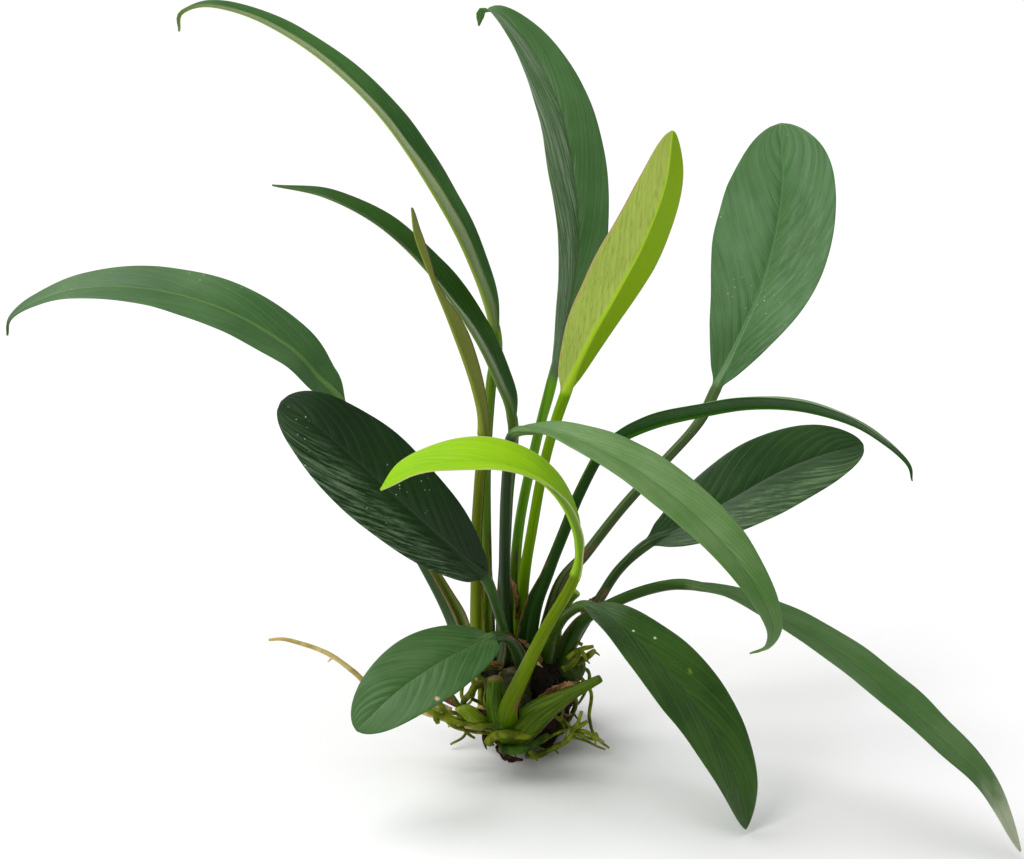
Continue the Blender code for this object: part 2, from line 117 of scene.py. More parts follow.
LEAVES = {
    "leaf_01": Leaf(
        [(-12, 7, 25.5), (-12, 7.5, 52), (-12, 9.5, 78), (-10.5, 12, 100), (-9, 14, 113)],
        [(-15, 16, 131), (-24, 18, 149), (-39, 22, 171), (-55, 27, 186), (-72, 32, 196), (-86, 34, 200),
         (-94, 35, 198), (-95, 35, 193)],
        8.5, turn=(-8, -5, 0), fold=(36, 26, 22), veins=9, vein_lean=0.62, deep=(0.02, 0.09, 0.01),
        mid=(0.06, 0.17, 0.03), under=(0.15, 0.23, 0.05), under_vein=(0.2, 0.27, 0.09),
        rib_under=(0.32, 0.44, 0.04), under_amount=0.5, stem=(0.115, 0.225, 0.004)),
    "leaf_02": Leaf(
        [(-7.5, 6, 25.5), (-7, 7, 45), (-6, 6, 68), (-4.5, 4, 91)],
        [(-9, 4, 104), (-15.5, 5, 117), (-26.5, 8, 132), (-40, 13, 144), (-55, 18, 151), (-70, 24, 153)],
        8, turn=(-10, -5, 0), fold=(34, 20, 20), veins=9, vein_lean=0.6, deep=(0.012, 0.06, 0.003),
        mid=(0.03, 0.1, 0.006), under=(0.042, 0.105, 0.0), under_vein=(0.08, 0.13, 0.02),
        rib_under=(0.11, 0.2, 0.015), stem=(0.06, 0.12, 0.004)),
    "leaf_03": Leaf(
        [(-18, 3, 22.5), (-22, 10, 33), (-29, 15, 46), (-41, 20, 66), (-52, 24, 90)],
        [(-59, 25, 98), (-67, 27, 106), (-84, 30, 115.5), (-104, 32, 121), (-124, 32, 121.5),
         (-137, 31, 118), (-144, 30, 113.5), (-145, 29, 109)],
        10.6, turn=(30, 22, 10), fold=(16, 10, 12), sheath=(0.55, 3.4), veins=13, vein_lean=0.5,
        deep=(0.03, 0.1, 0.02), mid=(0.07, 0.17, 0.045), vein=(0.13, 0.2, 0.12), under=(0.02, 0.1, 0.003),
        flecks=0.7, specular=0.3, stem=(0.018, 0.06, 0.003), stem_top=(0.1, 0.15, 0.004)),
    "leaf_04": Leaf(
        [(-7.5, -5, 23.5), (-6.5, -10, 33), (-8.5, -17, 45), (-12, -22, 56.5)],
        [(-18, -25, 63.5), (-31.5, -28, 77.5), (-44.5, -27, 90), (-56.5, -24, 100), (-65.5, -21, 105.5)],
        12.6, turn=(55, 60, 55), fold=(12, 8, 6), swell=(0.65, 0.5), veins=13, pucker=0.16,
        deep=(0.002, 0.016, 0.001), mid=(0.007, 0.032, 0.003), vein=(0.02, 0.055, 0.014),
        # This leaf's sheen is a painted sheen: a paler tint on one side of its upper face that stands in for
        # reflected light.
        rib=(0.03, 0.065, 0.02), flecks=0.8, specular=0.22, painted_sheen=((0.13, 0.2, 0.11), 0.0, 7.0, 0.9),
        stem=(0.025, 0.07, 0.004)),
    "leaf_05": Leaf(
        [(-1.5, -7.5, 23), (-3.5, -15, 33), (-6, -21, 39), (-10, -27, 41.5)],
        [(-16, -35, 42), (-25, -44, 40.5), (-35, -53, 36.5), (-45, -60, 29)],
        11.2, turn=(20, 25, 20), fold=(12, 8, 6), swell=(0.6, 0.55), sheath=(0.85, 1.3),
        deep=(0.018, 0.08, 0.006), mid=(0.075, 0.155, 0.05), vein=(0.06, 0.12, 0.04), vein_amount=0.12,
        rib=(0.07, 0.13, 0.03), veins=12, stem=(0.02, 0.06, 0.004),
        spots=((31, 9.4, 1.0, (0.5, 0.36, 0.22)),)),
    "leaf_06": Leaf(
        [(-3.5, 9, 24), (-4, 11, 42), (-2.5, 14, 60), (2, 17, 82), (6, 19, 98)],
        [(10, 22, 116), (13, 27, 135), (12, 31, 152), (8.5, 36, 170), (2, 42, 184), (-4, 45, 192),
         (-9, 47, 196), (-13, 47, 196), (-14, 46, 192.5)],
        10.2, turn=(0, 0, 0), fold=(25, 14, 15), swell=(0.95, 0.85), veins=15, vein_lean=0.5,
        deep=(0.035, 0.115, 0.02), mid=(0.085, 0.19, 0.06), vein=(0.1, 0.16, 0.08), rib=(0.06, 0.13, 0.03),
        # This leaf's sheen is a painted sheen: a paler tint on one side of its upper face that stands in for
        # reflected light.
        rib_amount=0.5, painted_sheen=((0.34, 0.4, 0.3), -2.5, 3.0, 0.95), stem=(0.1, 0.26, 0.001)),
    "leaf_07": Leaf(
        [(-2.5, 4, 26), (-2, 1, 45), (0.5, -4, 64), (4, -9, 86), (9, -14, 105)],
        [(15.5, -17, 121), (22.5, -20, 135), (29, -23, 149), (34, -27, 165), (35.5, -29, 179.5)],
        9.6, turn=(-40, -42, -30), fold=(30, 26, 20), swell=(0.65, 0.6), veins=20, vein_lean=0.3,
        specular=0.04, mottle=(0.2, 0.3, 0.03), deep=(0.1, 0.25, 0.0), mid=(0.2, 0.4, 0.0),
        # The colour given for the other half of the underside is painted light shining through the leaf from
        # behind.
        under=(0.42, 0.52, 0.1), under_vein=(0.2, 0.32, 0.05), painted_backlit_half=(0.22, 0.38, 0.0),
        rib=(0.4, 0.6, 0.02), rib_under=(0.33, 0.52, 0.01), edge=(0.42, 0.3, 0.14),
        stem=(0.17, 0.34, 0.001)),
    "leaf_08": Leaf(
        [(4, 7, 24.5), (8.5, 10, 42), (16, 13, 51), (26, 17, 63), (37, 22, 74), (47, 27, 84), (52, 30, 93)],
        [(59, 34, 107), (64.5, 38, 119), (68.7, 43, 133), (71, 49, 148), (70.5, 57, 163)],
        17.6, turn=(5, 8, 8), fold=(16, 8, 5), swell=(0.9, 0.58), veins=11, vein_lean=0.42,
        deep=(0.035, 0.11, 0.022), mid=(0.085, 0.19, 0.065), vein=(0.12, 0.21, 0.11),
        # This leaf's sheen is a painted sheen: a paler tint on one side of its upper face that stands in for
        # reflected light.
        rib=(0.15, 0.27, 0.12), rib_amount=0.7, flecks=0.9, painted_sheen=((0.17, 0.27, 0.15), 1.0, -6.0, 0.45),
        pucker=0.14, stem=(0.05, 0.09, 0.02)),
    "leaf_09": Leaf(
        [(-0.5, -1.5, 26.5), (1.5, -5, 42), (5, -9, 54), (9, -12, 66), (13, -15, 78), (19, -18, 91)],
        [(25, -20, 95.5), (34, -23, 100), (45, -26, 103.5), (57, -28, 106), (70, -30, 106),
         (83, -31, 102.5), (92, -31, 97), (98, -31, 91.5), (99.5, -31, 87)],
        7.6, turn=(-15, -16, -10), fold=(30, 22, 20), sheath=(0.5, 3.0), vein_lean=0.5,
        deep=(0.11, 0.19, 0.08), mid=(0.3, 0.4, 0.25), under=(0.008, 0.065, 0.0),
        under_vein=(0.02, 0.09, 0.002), rib_under=(0.03, 0.11, 0.002), specular=0.08,
        stem=(0.012, 0.05, 0.002), stem_top=(0.08, 0.13, 0.004)),
    "leaf_10": Leaf(
        [(-6, 0, 26.5), (-7, -5, 45), (-7, -11, 63), (-6.5, -15, 80), (-5, -20, 95.5)],
        [(1, -24, 98.5), (9, -30, 99), (19, -38, 97), (29, -45, 93), (40, -53, 86.5), (50, -60, 78),
         (57, -65, 69), (60.5, -68, 61), (59, -69, 56), (55, -69, 54)],
        8.3, turn=(5, 10, 0), fold=(20, 12, 12), swell=(0.75, 0.8), vein_lean=0.5,
        deep=(0.055, 0.16, 0.022), mid=(0.16, 0.27, 0.1), vein=(0.1, 0.17, 0.07), rib=(0.07, 0.15, 0.03),
        under=(0.1, 0.19, 0.03), stem=(0.012, 0.04, 0.002)),
    "leaf_11": Leaf(
        [(-6, -20, 13), (-5, -26, 22), (-0.5, -31, 35), (4, -36, 47), (11.5, -41, 64)],
        [(12, -45, 75), (9.5, -48, 84), (5, -51, 91.5), (-1, -54, 97), (-11, -56, 100.5), (-22, -57, 100.5),
         (-31, -57, 98.5), (-38, -57, 93.5)],
        9.5, turn=(15, 14, 5), fold=(26, 18, 15), swell=(1.2, 0.85), sheath=(0.3, 0.8),
        stalk_radii=((0, 3.7), (0.15, 2.9), (0.3, 2.4), (0.5, 2.05), (0.75, 1.8), (1, 1.5)), specular=0.06,
        deep=(0.19, 0.42, 0.0), mid=(0.3, 0.55, 0.005), vein=(0.34, 0.56, 0.1), veins=12, vein_lean=0.5,
        vein_amount=0.35, rib=(0.3, 0.5, 0.02), under=(0.13, 0.27, 0.01), under_vein=(0.16, 0.3, 0.02),
        edge=(0.4, 0.42, 0.15), stem=(0.125, 0.2, 0.001), foot=(0.03, 0.1, 0.001),
        outline=((0, 2.1), (0.05, 2.0), (0.1, 2.3), (0.15, 3.4), (0.2, 4.6), (0.3, 6.6), (0.4, 8.2),
                 (0.5, 9.2), (0.6, 9.5), (0.7, 8.9), (0.8, 7.4), (0.9, 4.7), (0.95, 2.8), (1, 0.1))),
    "leaf_12": Leaf(
        [(9.5, 4, 22.5), (14, 8, 30), (19, 11, 37), (25, 15, 45), (33, 19, 51)],
        [(42, 22, 54.5), (56, 27, 61), (70, 32, 67.5), (83, 35, 72), (95, 38, 74)],
        12.6, turn=(35, 38, 35), fold=(14, 8, 6), swell=(0.7, 0.55), sheath=(0.6, 1.4),
        deep=(0.008, 0.04, 0.004), mid=(0.026, 0.075, 0.014), vein=(0.05, 0.11, 0.04),
        # This leaf's sheen is a painted sheen: a paler tint on one side of its upper face that stands in for
        # reflected light.
        rib=(0.03, 0.07, 0.02), specular=0.22, painted_sheen=((0.14, 0.24, 0.1), -1.0, -6.0, 0.9), veins=12,
        stem=(0.02, 0.055, 0.005)),
    "leaf_13": Leaf(
        [(9, -2, 24), (14, -5, 37), (22, -10, 44.5), (32, -17, 51.5), (41, -24, 55.5)],
        [(52, -31, 55.5), (65, -40, 52), (79, -48, 46), (92, -56, 38), (104, -63, 29), (116, -69, 18),
         (125, -75, 2)],
        7.9, turn=(0, 2, 0), fold=(20, 10, 10), swell=(0.85, 0.75), vein_lean=0.5,
        deep=(0.036, 0.115, 0.014), mid=(0.1, 0.19, 0.065), vein=(0.08, 0.13, 0.06), rib=(0.06, 0.12, 0.03),
        under=(0.13, 0.2, 0.06), sheath=(0.45, 2.2), pale_tip=((0.4, 0.46, 0.3), 1.86),
        stem=(0.03, 0.08, 0.005)),
    "leaf_14": Leaf(
        [(4.5, -2.8, 24.5), (6.5, -9, 36), (10, -17, 44.5), (15, -23, 49)],
        [(22, -31, 48), (30, -38, 43), (37, -44, 37), (43.3, -48, 30), (49, -52, 22), (53.5, -56, 12),
         (56, -60, 1)],
        11.5, turn=(0, 4, 5), fold=(14, 9, 10), swell=(0.65, 0.7), veins=11, vein_lean=0.5, pucker=0.22,
        gloss=0.24, specular=0.35, deep=(0.01, 0.05, 0.001), mid=(0.048, 0.125, 0.012),
        vein=(0.04, 0.085, 0.03), rib=(0.05, 0.1, 0.035), sheath=(0.75, 1.6), stem=(0.04, 0.085, 0.006),
        spots=((17, 1.0, 0.45, (0.62, 0.68, 0.58)), (22, 4.2, 0.5, (0.62, 0.68, 0.58)),
               (35, 5.2, 1.3, (0.16, 0.24, 0.03)))),
    "leaf_15": Leaf(
        [(-14.5, 0.5, 24.5), (-14.5, 0, 42), (-14.5, -1, 60), (-13.5, -3, 78), (-12.5, -5, 91)],
        [(-15, -7, 105), (-21, -9, 123), (-26, -10, 136), (-30, -10, 147), (-31, -10, 155)],
        3.2, turn=(0, 0, 0), fold=(62, 58, 40), wave=0.35, specular=0.1, deep=(0.06, 0.08, 0.01),
        mid=(0.16, 0.2, 0.02), under=(0.115, 0.14, 0.02), under_vein=(0.2, 0.22, 0.05),
        rib_under=(0.22, 0.27, 0.03), edge=(0.1, 0.05, 0.05), stem=(0.14, 0.19, 0.004),
        outline=((0, 1.6), (0.12, 2.6), (0.4, 4.0), (0.52, 3.4), (0.62, 1.7), (0.7, 1.2), (0.8, 2.2),
                 (0.88, 2.3), (0.96, 1.2), (1, 0.2))),
}
STUBS = {                       # path, (share, radius) pairs, groove along the top, looks
    "stub_upright": (
        [(6.5, 1.5, 26), (7.5, 1, 37), (12.5, 2, 44)],
        [(0, 2.4), (0.3, 2.1), (0.8, 1.9), (0.97, 2.0), (1, 1.6)], 0.3,
        dict(skin=(0.16, 0.3, 0.004), dark=(0.035, 0.09, 0.002), cut=(0.3, 0.42, 0.05), cut_from=0.95,
             brown_top=True)),
    "stub_front_right": (
        [(-6.5, -18.5, 8), (-3, -20.5, 11), (2.5, -22, 17), (7.5, -23, 21), (12, -23.3, 24),
         (19, -24, 28.3)],
        [(0, 3.4), (0.14, 4.6), (0.4, 4.2), (0.6, 2.8), (0.76, 1.9), (0.96, 1.35), (1, 1.1)], 0.2,
        dict(skin=(0.1, 0.16, 0.002), dark=(0.03, 0.07, 0.001), cut=(0.06, 0.13, 0.003), cut_from=0.97,
             brown_top=True)),
    "stub_front_left": (
        [(-3.5, -18, 8.5), (-6.5, -20.5, 12), (-8.6, -21, 17), (-9.2, -21, 22), (-9.4, -20.5, 27.5)],
        [(0, 4.6), (0.25, 4.5), (0.5, 3.4), (0.75, 2.7), (0.95, 2.3), (1, 1.2)], 0.1,
        dict(skin=(0.085, 0.16, 0.003), dark=(0.025, 0.07, 0.001), cut=(0.13, 0.11, 0.03), cut_from=0.93)),
    "bud_front_left": (
        [(-12, -19, 13), (-14.5, -21.5, 15), (-17, -22.5, 18), (-20, -22, 18.5)],
        [(0, 1.7), (0.25, 2.3), (0.6, 2.3), (0.85, 1.5), (1, 0.4)], 0.0,
        dict(skin=(0.24, 0.33, 0.02), dark=(0.11, 0.17, 0.006), cut=(0.3, 0.36, 0.05), cut_from=0.9)),
}
FREE_ROOTS = {                  # path, radius
    "root_long_left": (
        [(-6, -17, 9.5), (-14, -14, 9), (-24, -13, 12), (-33, -13, 15.5), (-42, -13, 20), (-49, -13, 26.5),
         (-56, -14, 32), (-66, -14, 35.5), (-71, -14, 35.5)], 0.8),
    "root_low_left": ([(-7.5, -13, 17.5), (-15, -12, 14), (-23, -16, 15), (-31, -17, 19)], 0.7),
    "root_front_band": ([(-6.5, -20.5, 8), (-7, -25, 8), (-1, -26.5, 9), (5, -24, 12)], 1.2),
    "root_front_right": (
        [(-2.5, -20, 9), (1, -20, 4.5), (5, -20, 5.5), (9, -21, 8), (14, -23, 12.5), (20, -25, 10)], 0.75),
    "root_right_stub": ([(10, -0.5, 22), (15, -2, 25), (18, -3, 28)], 1.1),
}
CLINGING_ROOTS = {              # path that is laid on the stone, radius
    "root_clinging_right": ([(12, 1, 19.5), (13, 3, 15), (12, 5, 9), (10, 6, 4), (8.5, 6, 1.5)], 0.8),
    "root_clinging_back": (
        [(1, 8, 22), (1, 13, 28), (0, 20, 27), (-1, 26, 19), (-2, 27, 9), (-3, 25, 2)], 0.9),
    "root_clinging_back_left": (
        [(-9, 8, 22), (-12, 14, 22), (-14, 19, 15), (-13, 21, 8), (-11, 21, 2)], 0.8),
    "root_clinging_front": (
        [(-10, 2, 21), (-14, -1, 17), (-14, -4, 11), (-12, -7, 6), (-10, -8, 1.5)], 0.75),
}
ROOTLETS = {                    # runs of (path, radius)
    "rootlets_right": (
        ([(-1, -18, 3), (2, -19.5, 3.5), (5, -20.5, 5.5), (7.5, -21, 7.5), (9, -22, 8.5), (11, -23, 11),
          (12, -23, 13.5), (13, -23, 15), (14, -22, 18)], 0.7),
        ([(11.5, -23, 13), (13.5, -23, 14), (15.5, -22, 15)], 0.75),
        ([(1, -17, 6), (3, -19, 7.5), (5.5, -21, 10), (8.5, -23, 12.5), (11, -23, 13)], 0.5),
        ([(5, -16, 16), (6.5, -18, 15), (8.5, -20, 14), (9.5, -22, 12.5), (9.5, -22, 9.5),
          (9, -22, 8.5)], 0.45),
        ([(7, -21.5, 20), (8.5, -21, 19), (9, -21, 17.5), (8.5, -20, 15), (8.5, -20, 14)], 0.4),
        ([(8, -18, 14.5), (9.5, -19, 13.5), (11.5, -23, 13)], 0.5),
        ([(11, -22.5, 12), (13, -24, 12), (15.5, -24, 11), (17.5, -23, 10)], 0.55),
        ([(10.5, -22, 10.5), (12.5, -22, 10), (15.5, -23, 9.5), (18, -24, 8.5), (20.5, -24, 7.5)], 0.4),
        ([(-2.5, -17, 7), (-0.5, -18, 6), (2, -20, 6.5), (4.5, -20, 5.5)], 0.45),
        ([(11, -3, 26), (12.5, -4, 30.5), (14.5, -4, 30)], 0.7),
        ([(10.5, -6, 26.5), (12, -5.5, 28), (14, -5, 29), (17.5, -4, 29.5)], 0.75),
        ([(13, -5, 28.5), (14.5, -5, 28), (15.5, -5, 26)], 0.7),
        ([(9, -7, 24), (11, -7, 25), (13, -6.5, 27), (14, -5, 28.5)], 0.8),
    ),
    "rootlets_left": (
        ([(-31, -24, 21.5), (-26.5, -24, 18.5), (-23.5, -24, 17), (-19.5, -24, 15.5), (-15.5, -24, 15),
          (-10.5, -24, 14.5), (-6, -22, 14)], 0.75),
        ([(-25, -22, 22), (-23.5, -22, 18.5), (-22, -23, 17), (-19, -23, 16), (-15, -22, 15.5),
          (-11, -20, 15)], 0.6),
        ([(-24, -18, 23.5), (-23, -18, 22.5), (-21, -19, 20.5), (-18.5, -20, 17.5), (-15, -20, 16)], 0.85),
        ([(-23, -17, 21.5), (-19.5, -17, 24), (-15.5, -16, 26.5), (-11, -12, 26.5), (-8, -9, 25)], 0.8),
        ([(-15.5, -16, 26.5), (-15.5, -17, 24), (-14.5, -17, 23), (-11, -14, 22)], 0.45),
        ([(-10, -14, 23.5), (-14.5, -17, 23.5), (-16, -19, 22), (-18, -20, 20), (-18, -20, 18)], 1.1),
        ([(-20, -21, 15), (-19, -21, 13.5), (-17, -21, 11), (-15, -21, 9.5)], 0.5),
        ([(-24, -23, 17.5), (-21, -23, 14), (-16, -22, 12), (-12, -21, 11), (-8, -20, 10.5)], 0.5),
        ([(-19.5, -20, 15.5), (-20.5, -20, 12)], 0.3),
        ([(-11.5, -24, 9.5), (-9.5, -25, 12), (-6, -26, 13), (-1.5, -25, 12), (1, -24, 12.5),
          (2, -23, 14.5), (3.5, -21, 15.5), (5, -18, 15)], 1.15),
        ([(-16, -18, 20), (-12, -19, 18), (-9, -21, 15), (-8, -22, 12)], 0.45),
        ([(-13, -15, 25), (-12, -18, 23), (-12.5, -20, 20), (-11, -21, 17)], 0.4),
        ([(-28, -16, 16), (-22, -19, 16.5), (-16, -21, 15), (-10, -23, 12)], 0.55),
    ),
    "rootlets_back": (
        ([(-8, 12, 23), (-10, 18, 18), (-9, 23, 11), (-5, 26, 5), (-1, 29, 1.5)], 0.5),
        ([(5, 9, 22), (8, 15, 22), (9, 21, 17), (8, 25, 9), (5, 27, 3)], 0.55),
        ([(12, 4, 21), (16.5, 8, 17), (16.5, 12, 11), (15, 17, 5), (14, 21, 1.5)], 0.5),
        ([(2, 12, 25), (5, 18, 25), (6, 24, 20), (4, 27, 13), (6, 28, 6), (10, 29, 2)], 0.45),
        ([(-14, 8, 21), (-16, 12, 15), (-15.5, 14, 9), (-17, 16, 4), (-21, 18, 1.2)], 0.5),
        ([(-17, 4, 19), (-19, 2, 13), (-17, -1, 8), (-18, -4, 3), (-22, -6, 1)], 0.5),
        ([(-3, 11, 26), (-5, 17, 25.5), (-4, 23, 22), (-7, 26, 15), (-6, 28, 8), (-9, 30, 2)], 0.4),
        ([(13, 0, 20), (17, -2, 15), (16.5, -5, 9), (18, -7, 4), (22, -9, 1.2)], 0.5),
    ),
}
NUBS = {                        # what rod_parts takes
    "rootlets_right": ([(16.7, -23.2, 10.9), (17.6, -23, 10.9), (18.6, -22.8, 10.9)],
                       [(0, 0.5), (0.3, 1.2), (0.7, 1.2), (1, 0.4)], 12, 0.2, 0.1, 4.0),
    "rootlets_left": ([(-25.4, -24, 18.2), (-25.3, -24, 16.5), (-25.0, -24, 15.2)],
                      [(0, 0.5), (0.5, 0.9), (1, 0.6)], 10, 0.2, 0.15, 5.0),
}
RAGS = {                        # ((pale, dark), strips of (points, (share, width) pairs, lean))
    "rags_brown": (((0.30, 0.17, 0.07), (0.10, 0.045, 0.018)), (
        ([(-5.5, 1.5, 48), (-4.8, 1, 44.5), (-4, 0.5, 41), (-4, 0.3, 36)],
         ((0, 0.3), (0.3, 1.8), (1, 0.4)), (1, -1, 0.1)),
        ([(-4, -10.5, 34), (-1, -9, 31.5), (1.5, -8, 28.5), (3, -7, 26)],
         ((0, 0.5), (0.4, 1.6), (1, 0.8)), (0.3, -0.4, 1)),
        ([(3, -20, 20), (7, -20.5, 23), (11, -21.5, 25), (15, -22.5, 27)],
         ((0, 1.6), (0.5, 1.5), (1, 0.3)), (-0.3, 0, 1)),
        ([(-27, -21, 23), (-25, -21, 21.5), (-22.5, -20, 19.5), (-20, -20, 18)],
         ((0, 0.8), (0.4, 2.6), (1, 1.0)), (0.4, 0, 1)),
        ([(8.5, -18, 15), (9.5, -19.5, 15), (11.5, -20, 16)],
         ((0, 1.2), (0.5, 0.9), (1, 0.3)), (0.2, 0.2, 1)),
        ([(14.5, -1, 38), (16.5, -2, 41.5), (18.5, -3, 44)],
         ((0, 0.4), (0.5, 1.0), (1, 0.3)), (-1, 0, 0.7)),
        ([(-14, -9, 25.5), (-11, -11, 26.5), (-7.5, -12, 27.5)],
         ((0, 0.6), (0.5, 1.8), (1, 0.6)), (0, -0.5, 1)),
        ([(-3, -24, 9), (-6, -23.5, 8.5), (-10, -22, 10)],
         ((0, 0.6), (0.5, 1.4), (1, 0.5)), (0, -0.6, -0.5)),
    )),
    "rags_pale": (((0.72, 0.62, 0.38), (0.45, 0.33, 0.16)), (
        ([(-31.5, -21.5, 19.5), (-28, -21.5, 20.5), (-24.5, -21, 20), (-21, -21, 18.5)],
         ((0, 0.3), (0.4, 1.8), (1, 0.8)), (0.2, 0, -1)),
        ([(-15, -16.5, 26), (-14, -16.5, 24.5), (-14.5, -17, 23)],
         ((0, 0.4), (0.5, 1.4), (1, 0.5)), (-1, 0, 0.3)),
        ([(-1, -12.5, 27), (1, -11.5, 27.5), (3.5, -10.5, 26)],
         ((0, 0.3), (0.5, 0.9), (1, 0.3)), (0.2, 0, 1)),
    )),
    "chips_dark": (((0.075, 0.03, 0.022), (0.022, 0.008, 0.008)), (
        ([(-18.5, -19.5, 18.5), (-15, -20, 18), (-11, -20, 17), (-8, -19.5, 16.5)],
         ((0, 1.6), (0.3, 2.6), (1, 2.4)), (0, -0.3, -1)),
        ([(-13, -20.5, 11.5), (-13, -21, 9), (-12, -21, 6.5)],
         ((0, 0.6), (0.4, 1.9), (1, 0.4)), (1, 0, 0.2)),
        ([(-9, -22, 8), (-6, -23, 5.5), (-2, -22.5, 4)],
         ((0, 0.8), (0.5, 1.8), (1, 0.5)), (0.1, -0.4, -0.6)),
    )),
}


# ---- curves ----

def smooth_path(points, per_span=24):
    """Points along a Catmull-Rom curve through the given points, with the index of each given point."""
    knots = [Vector(p) for p in points]
    ends = [knots[0] * 2 - knots[1]] + knots + [knots[-1] * 2 - knots[-2]]
    path = []
    for a, b, c, d in zip(ends, ends[1:], ends[2:], ends[3:]):
        for step in range(per_span):
            t = step / per_span
            path.append(0.5 * (2 * b + (c - a) * t + (2 * a - 5 * b + 4 * c - d) * t ** 2
                               + (3 * b - a - 3 * c + d) * t ** 3))
    path.append(knots[-1])
    return path, [index * per_span for index in range(len(knots))]


def path_length(path):
    """Length of a path of points."""
    return sum((b - a).length for a, b in zip(path, path[1:]))


def along(path, count):
    """The path's points, resampled to an even spacing."""
    lengths = [0.0]
    for a, b in zip(path, path[1:]):
        lengths.append(lengths[-1] + (b - a).length)
    samples = []
    span = 0
    for index in range(count):
        target = lengths[-1] * index / (count - 1)
        while span < len(path) - 2 and lengths[span + 1] < target:
            span += 1
        part = (target - lengths[span]) / max(lengths[span + 1] - lengths[span], 1e-9)
        samples.append(path[span].lerp(path[span + 1], min(part, 1.0)))
    return samples


def direction_at(path, index):
    """Unit tangent of a path at one of its points."""
    return (path[min(index + 1, len(path) - 1)] - path[max(index - 1, 0)]).normalized()


def between(three, t):
    """Value at t of two straight runs through the values at 0, 0.5 and 1."""
    first, middle, last = three
    if t < 0.5:
        return first + (middle - first) * t * 2
    return middle + (last - middle) * (t * 2 - 1)


def ease(low, high, value):
    """0 below low, 1 above high, and smooth between; works on numbers and on arrays."""
    part = np.clip((value - low) / (high - low), 0.0, 1.0)
    return part * part * (3 - 2 * part)


def run_through(pairs, value):
    """Value read off a smooth run through (place, value) pairs."""
    path, _ = smooth_path([(place, number, 0) for place, number in pairs], per_span=8)
    return float(np.interp(value, [p.x for p in path], [p.y for p in path]))


def wobble(*place):
    """Smooth noise between -1 and 1 at up to three coordinates."""
    return noise.noise(Vector((list(place) + [0.0, 0.0])[:3]))


# ---- objects ----

def add_piece(name, verts, faces, material, marks=None):
    """A mesh object from points in mm; marks are values that the material reads, by name."""
    mesh = bpy.data.meshes.new(name)
    mesh.from_pydata((np.asarray(verts, float) * MM).tolist(), [], faces)
    mesh.update()
    mesh.shade_smooth()
    for mark, values in (marks or {}).items():
        layer = mesh.attributes.new(mark, 'FLOAT', 'POINT')
        layer.data.foreach_set("value", np.asarray(values, np.float32))
    mesh.materials.append(material)
    piece = bpy.data.objects.new(name, mesh)
    bpy.context.scene.collection.objects.link(piece)
    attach(piece, "root")
    return piece


def ring_faces(rows, columns, first=0):
    """Faces of a closed loft of rings, with both ends closed."""
    faces = []
    for row in range(rows - 1):
        low = first + row * columns
        for k in range(columns):
            after = (k + 1) % columns
            faces.append((low + k, low + after, low + columns + after, low + columns + k))
    faces.append(tuple(first + k for k in reversed(range(columns))))
    faces.append(tuple(first + (rows - 1) * columns + k for k in range(columns)))
    return faces


# ---- materials ----

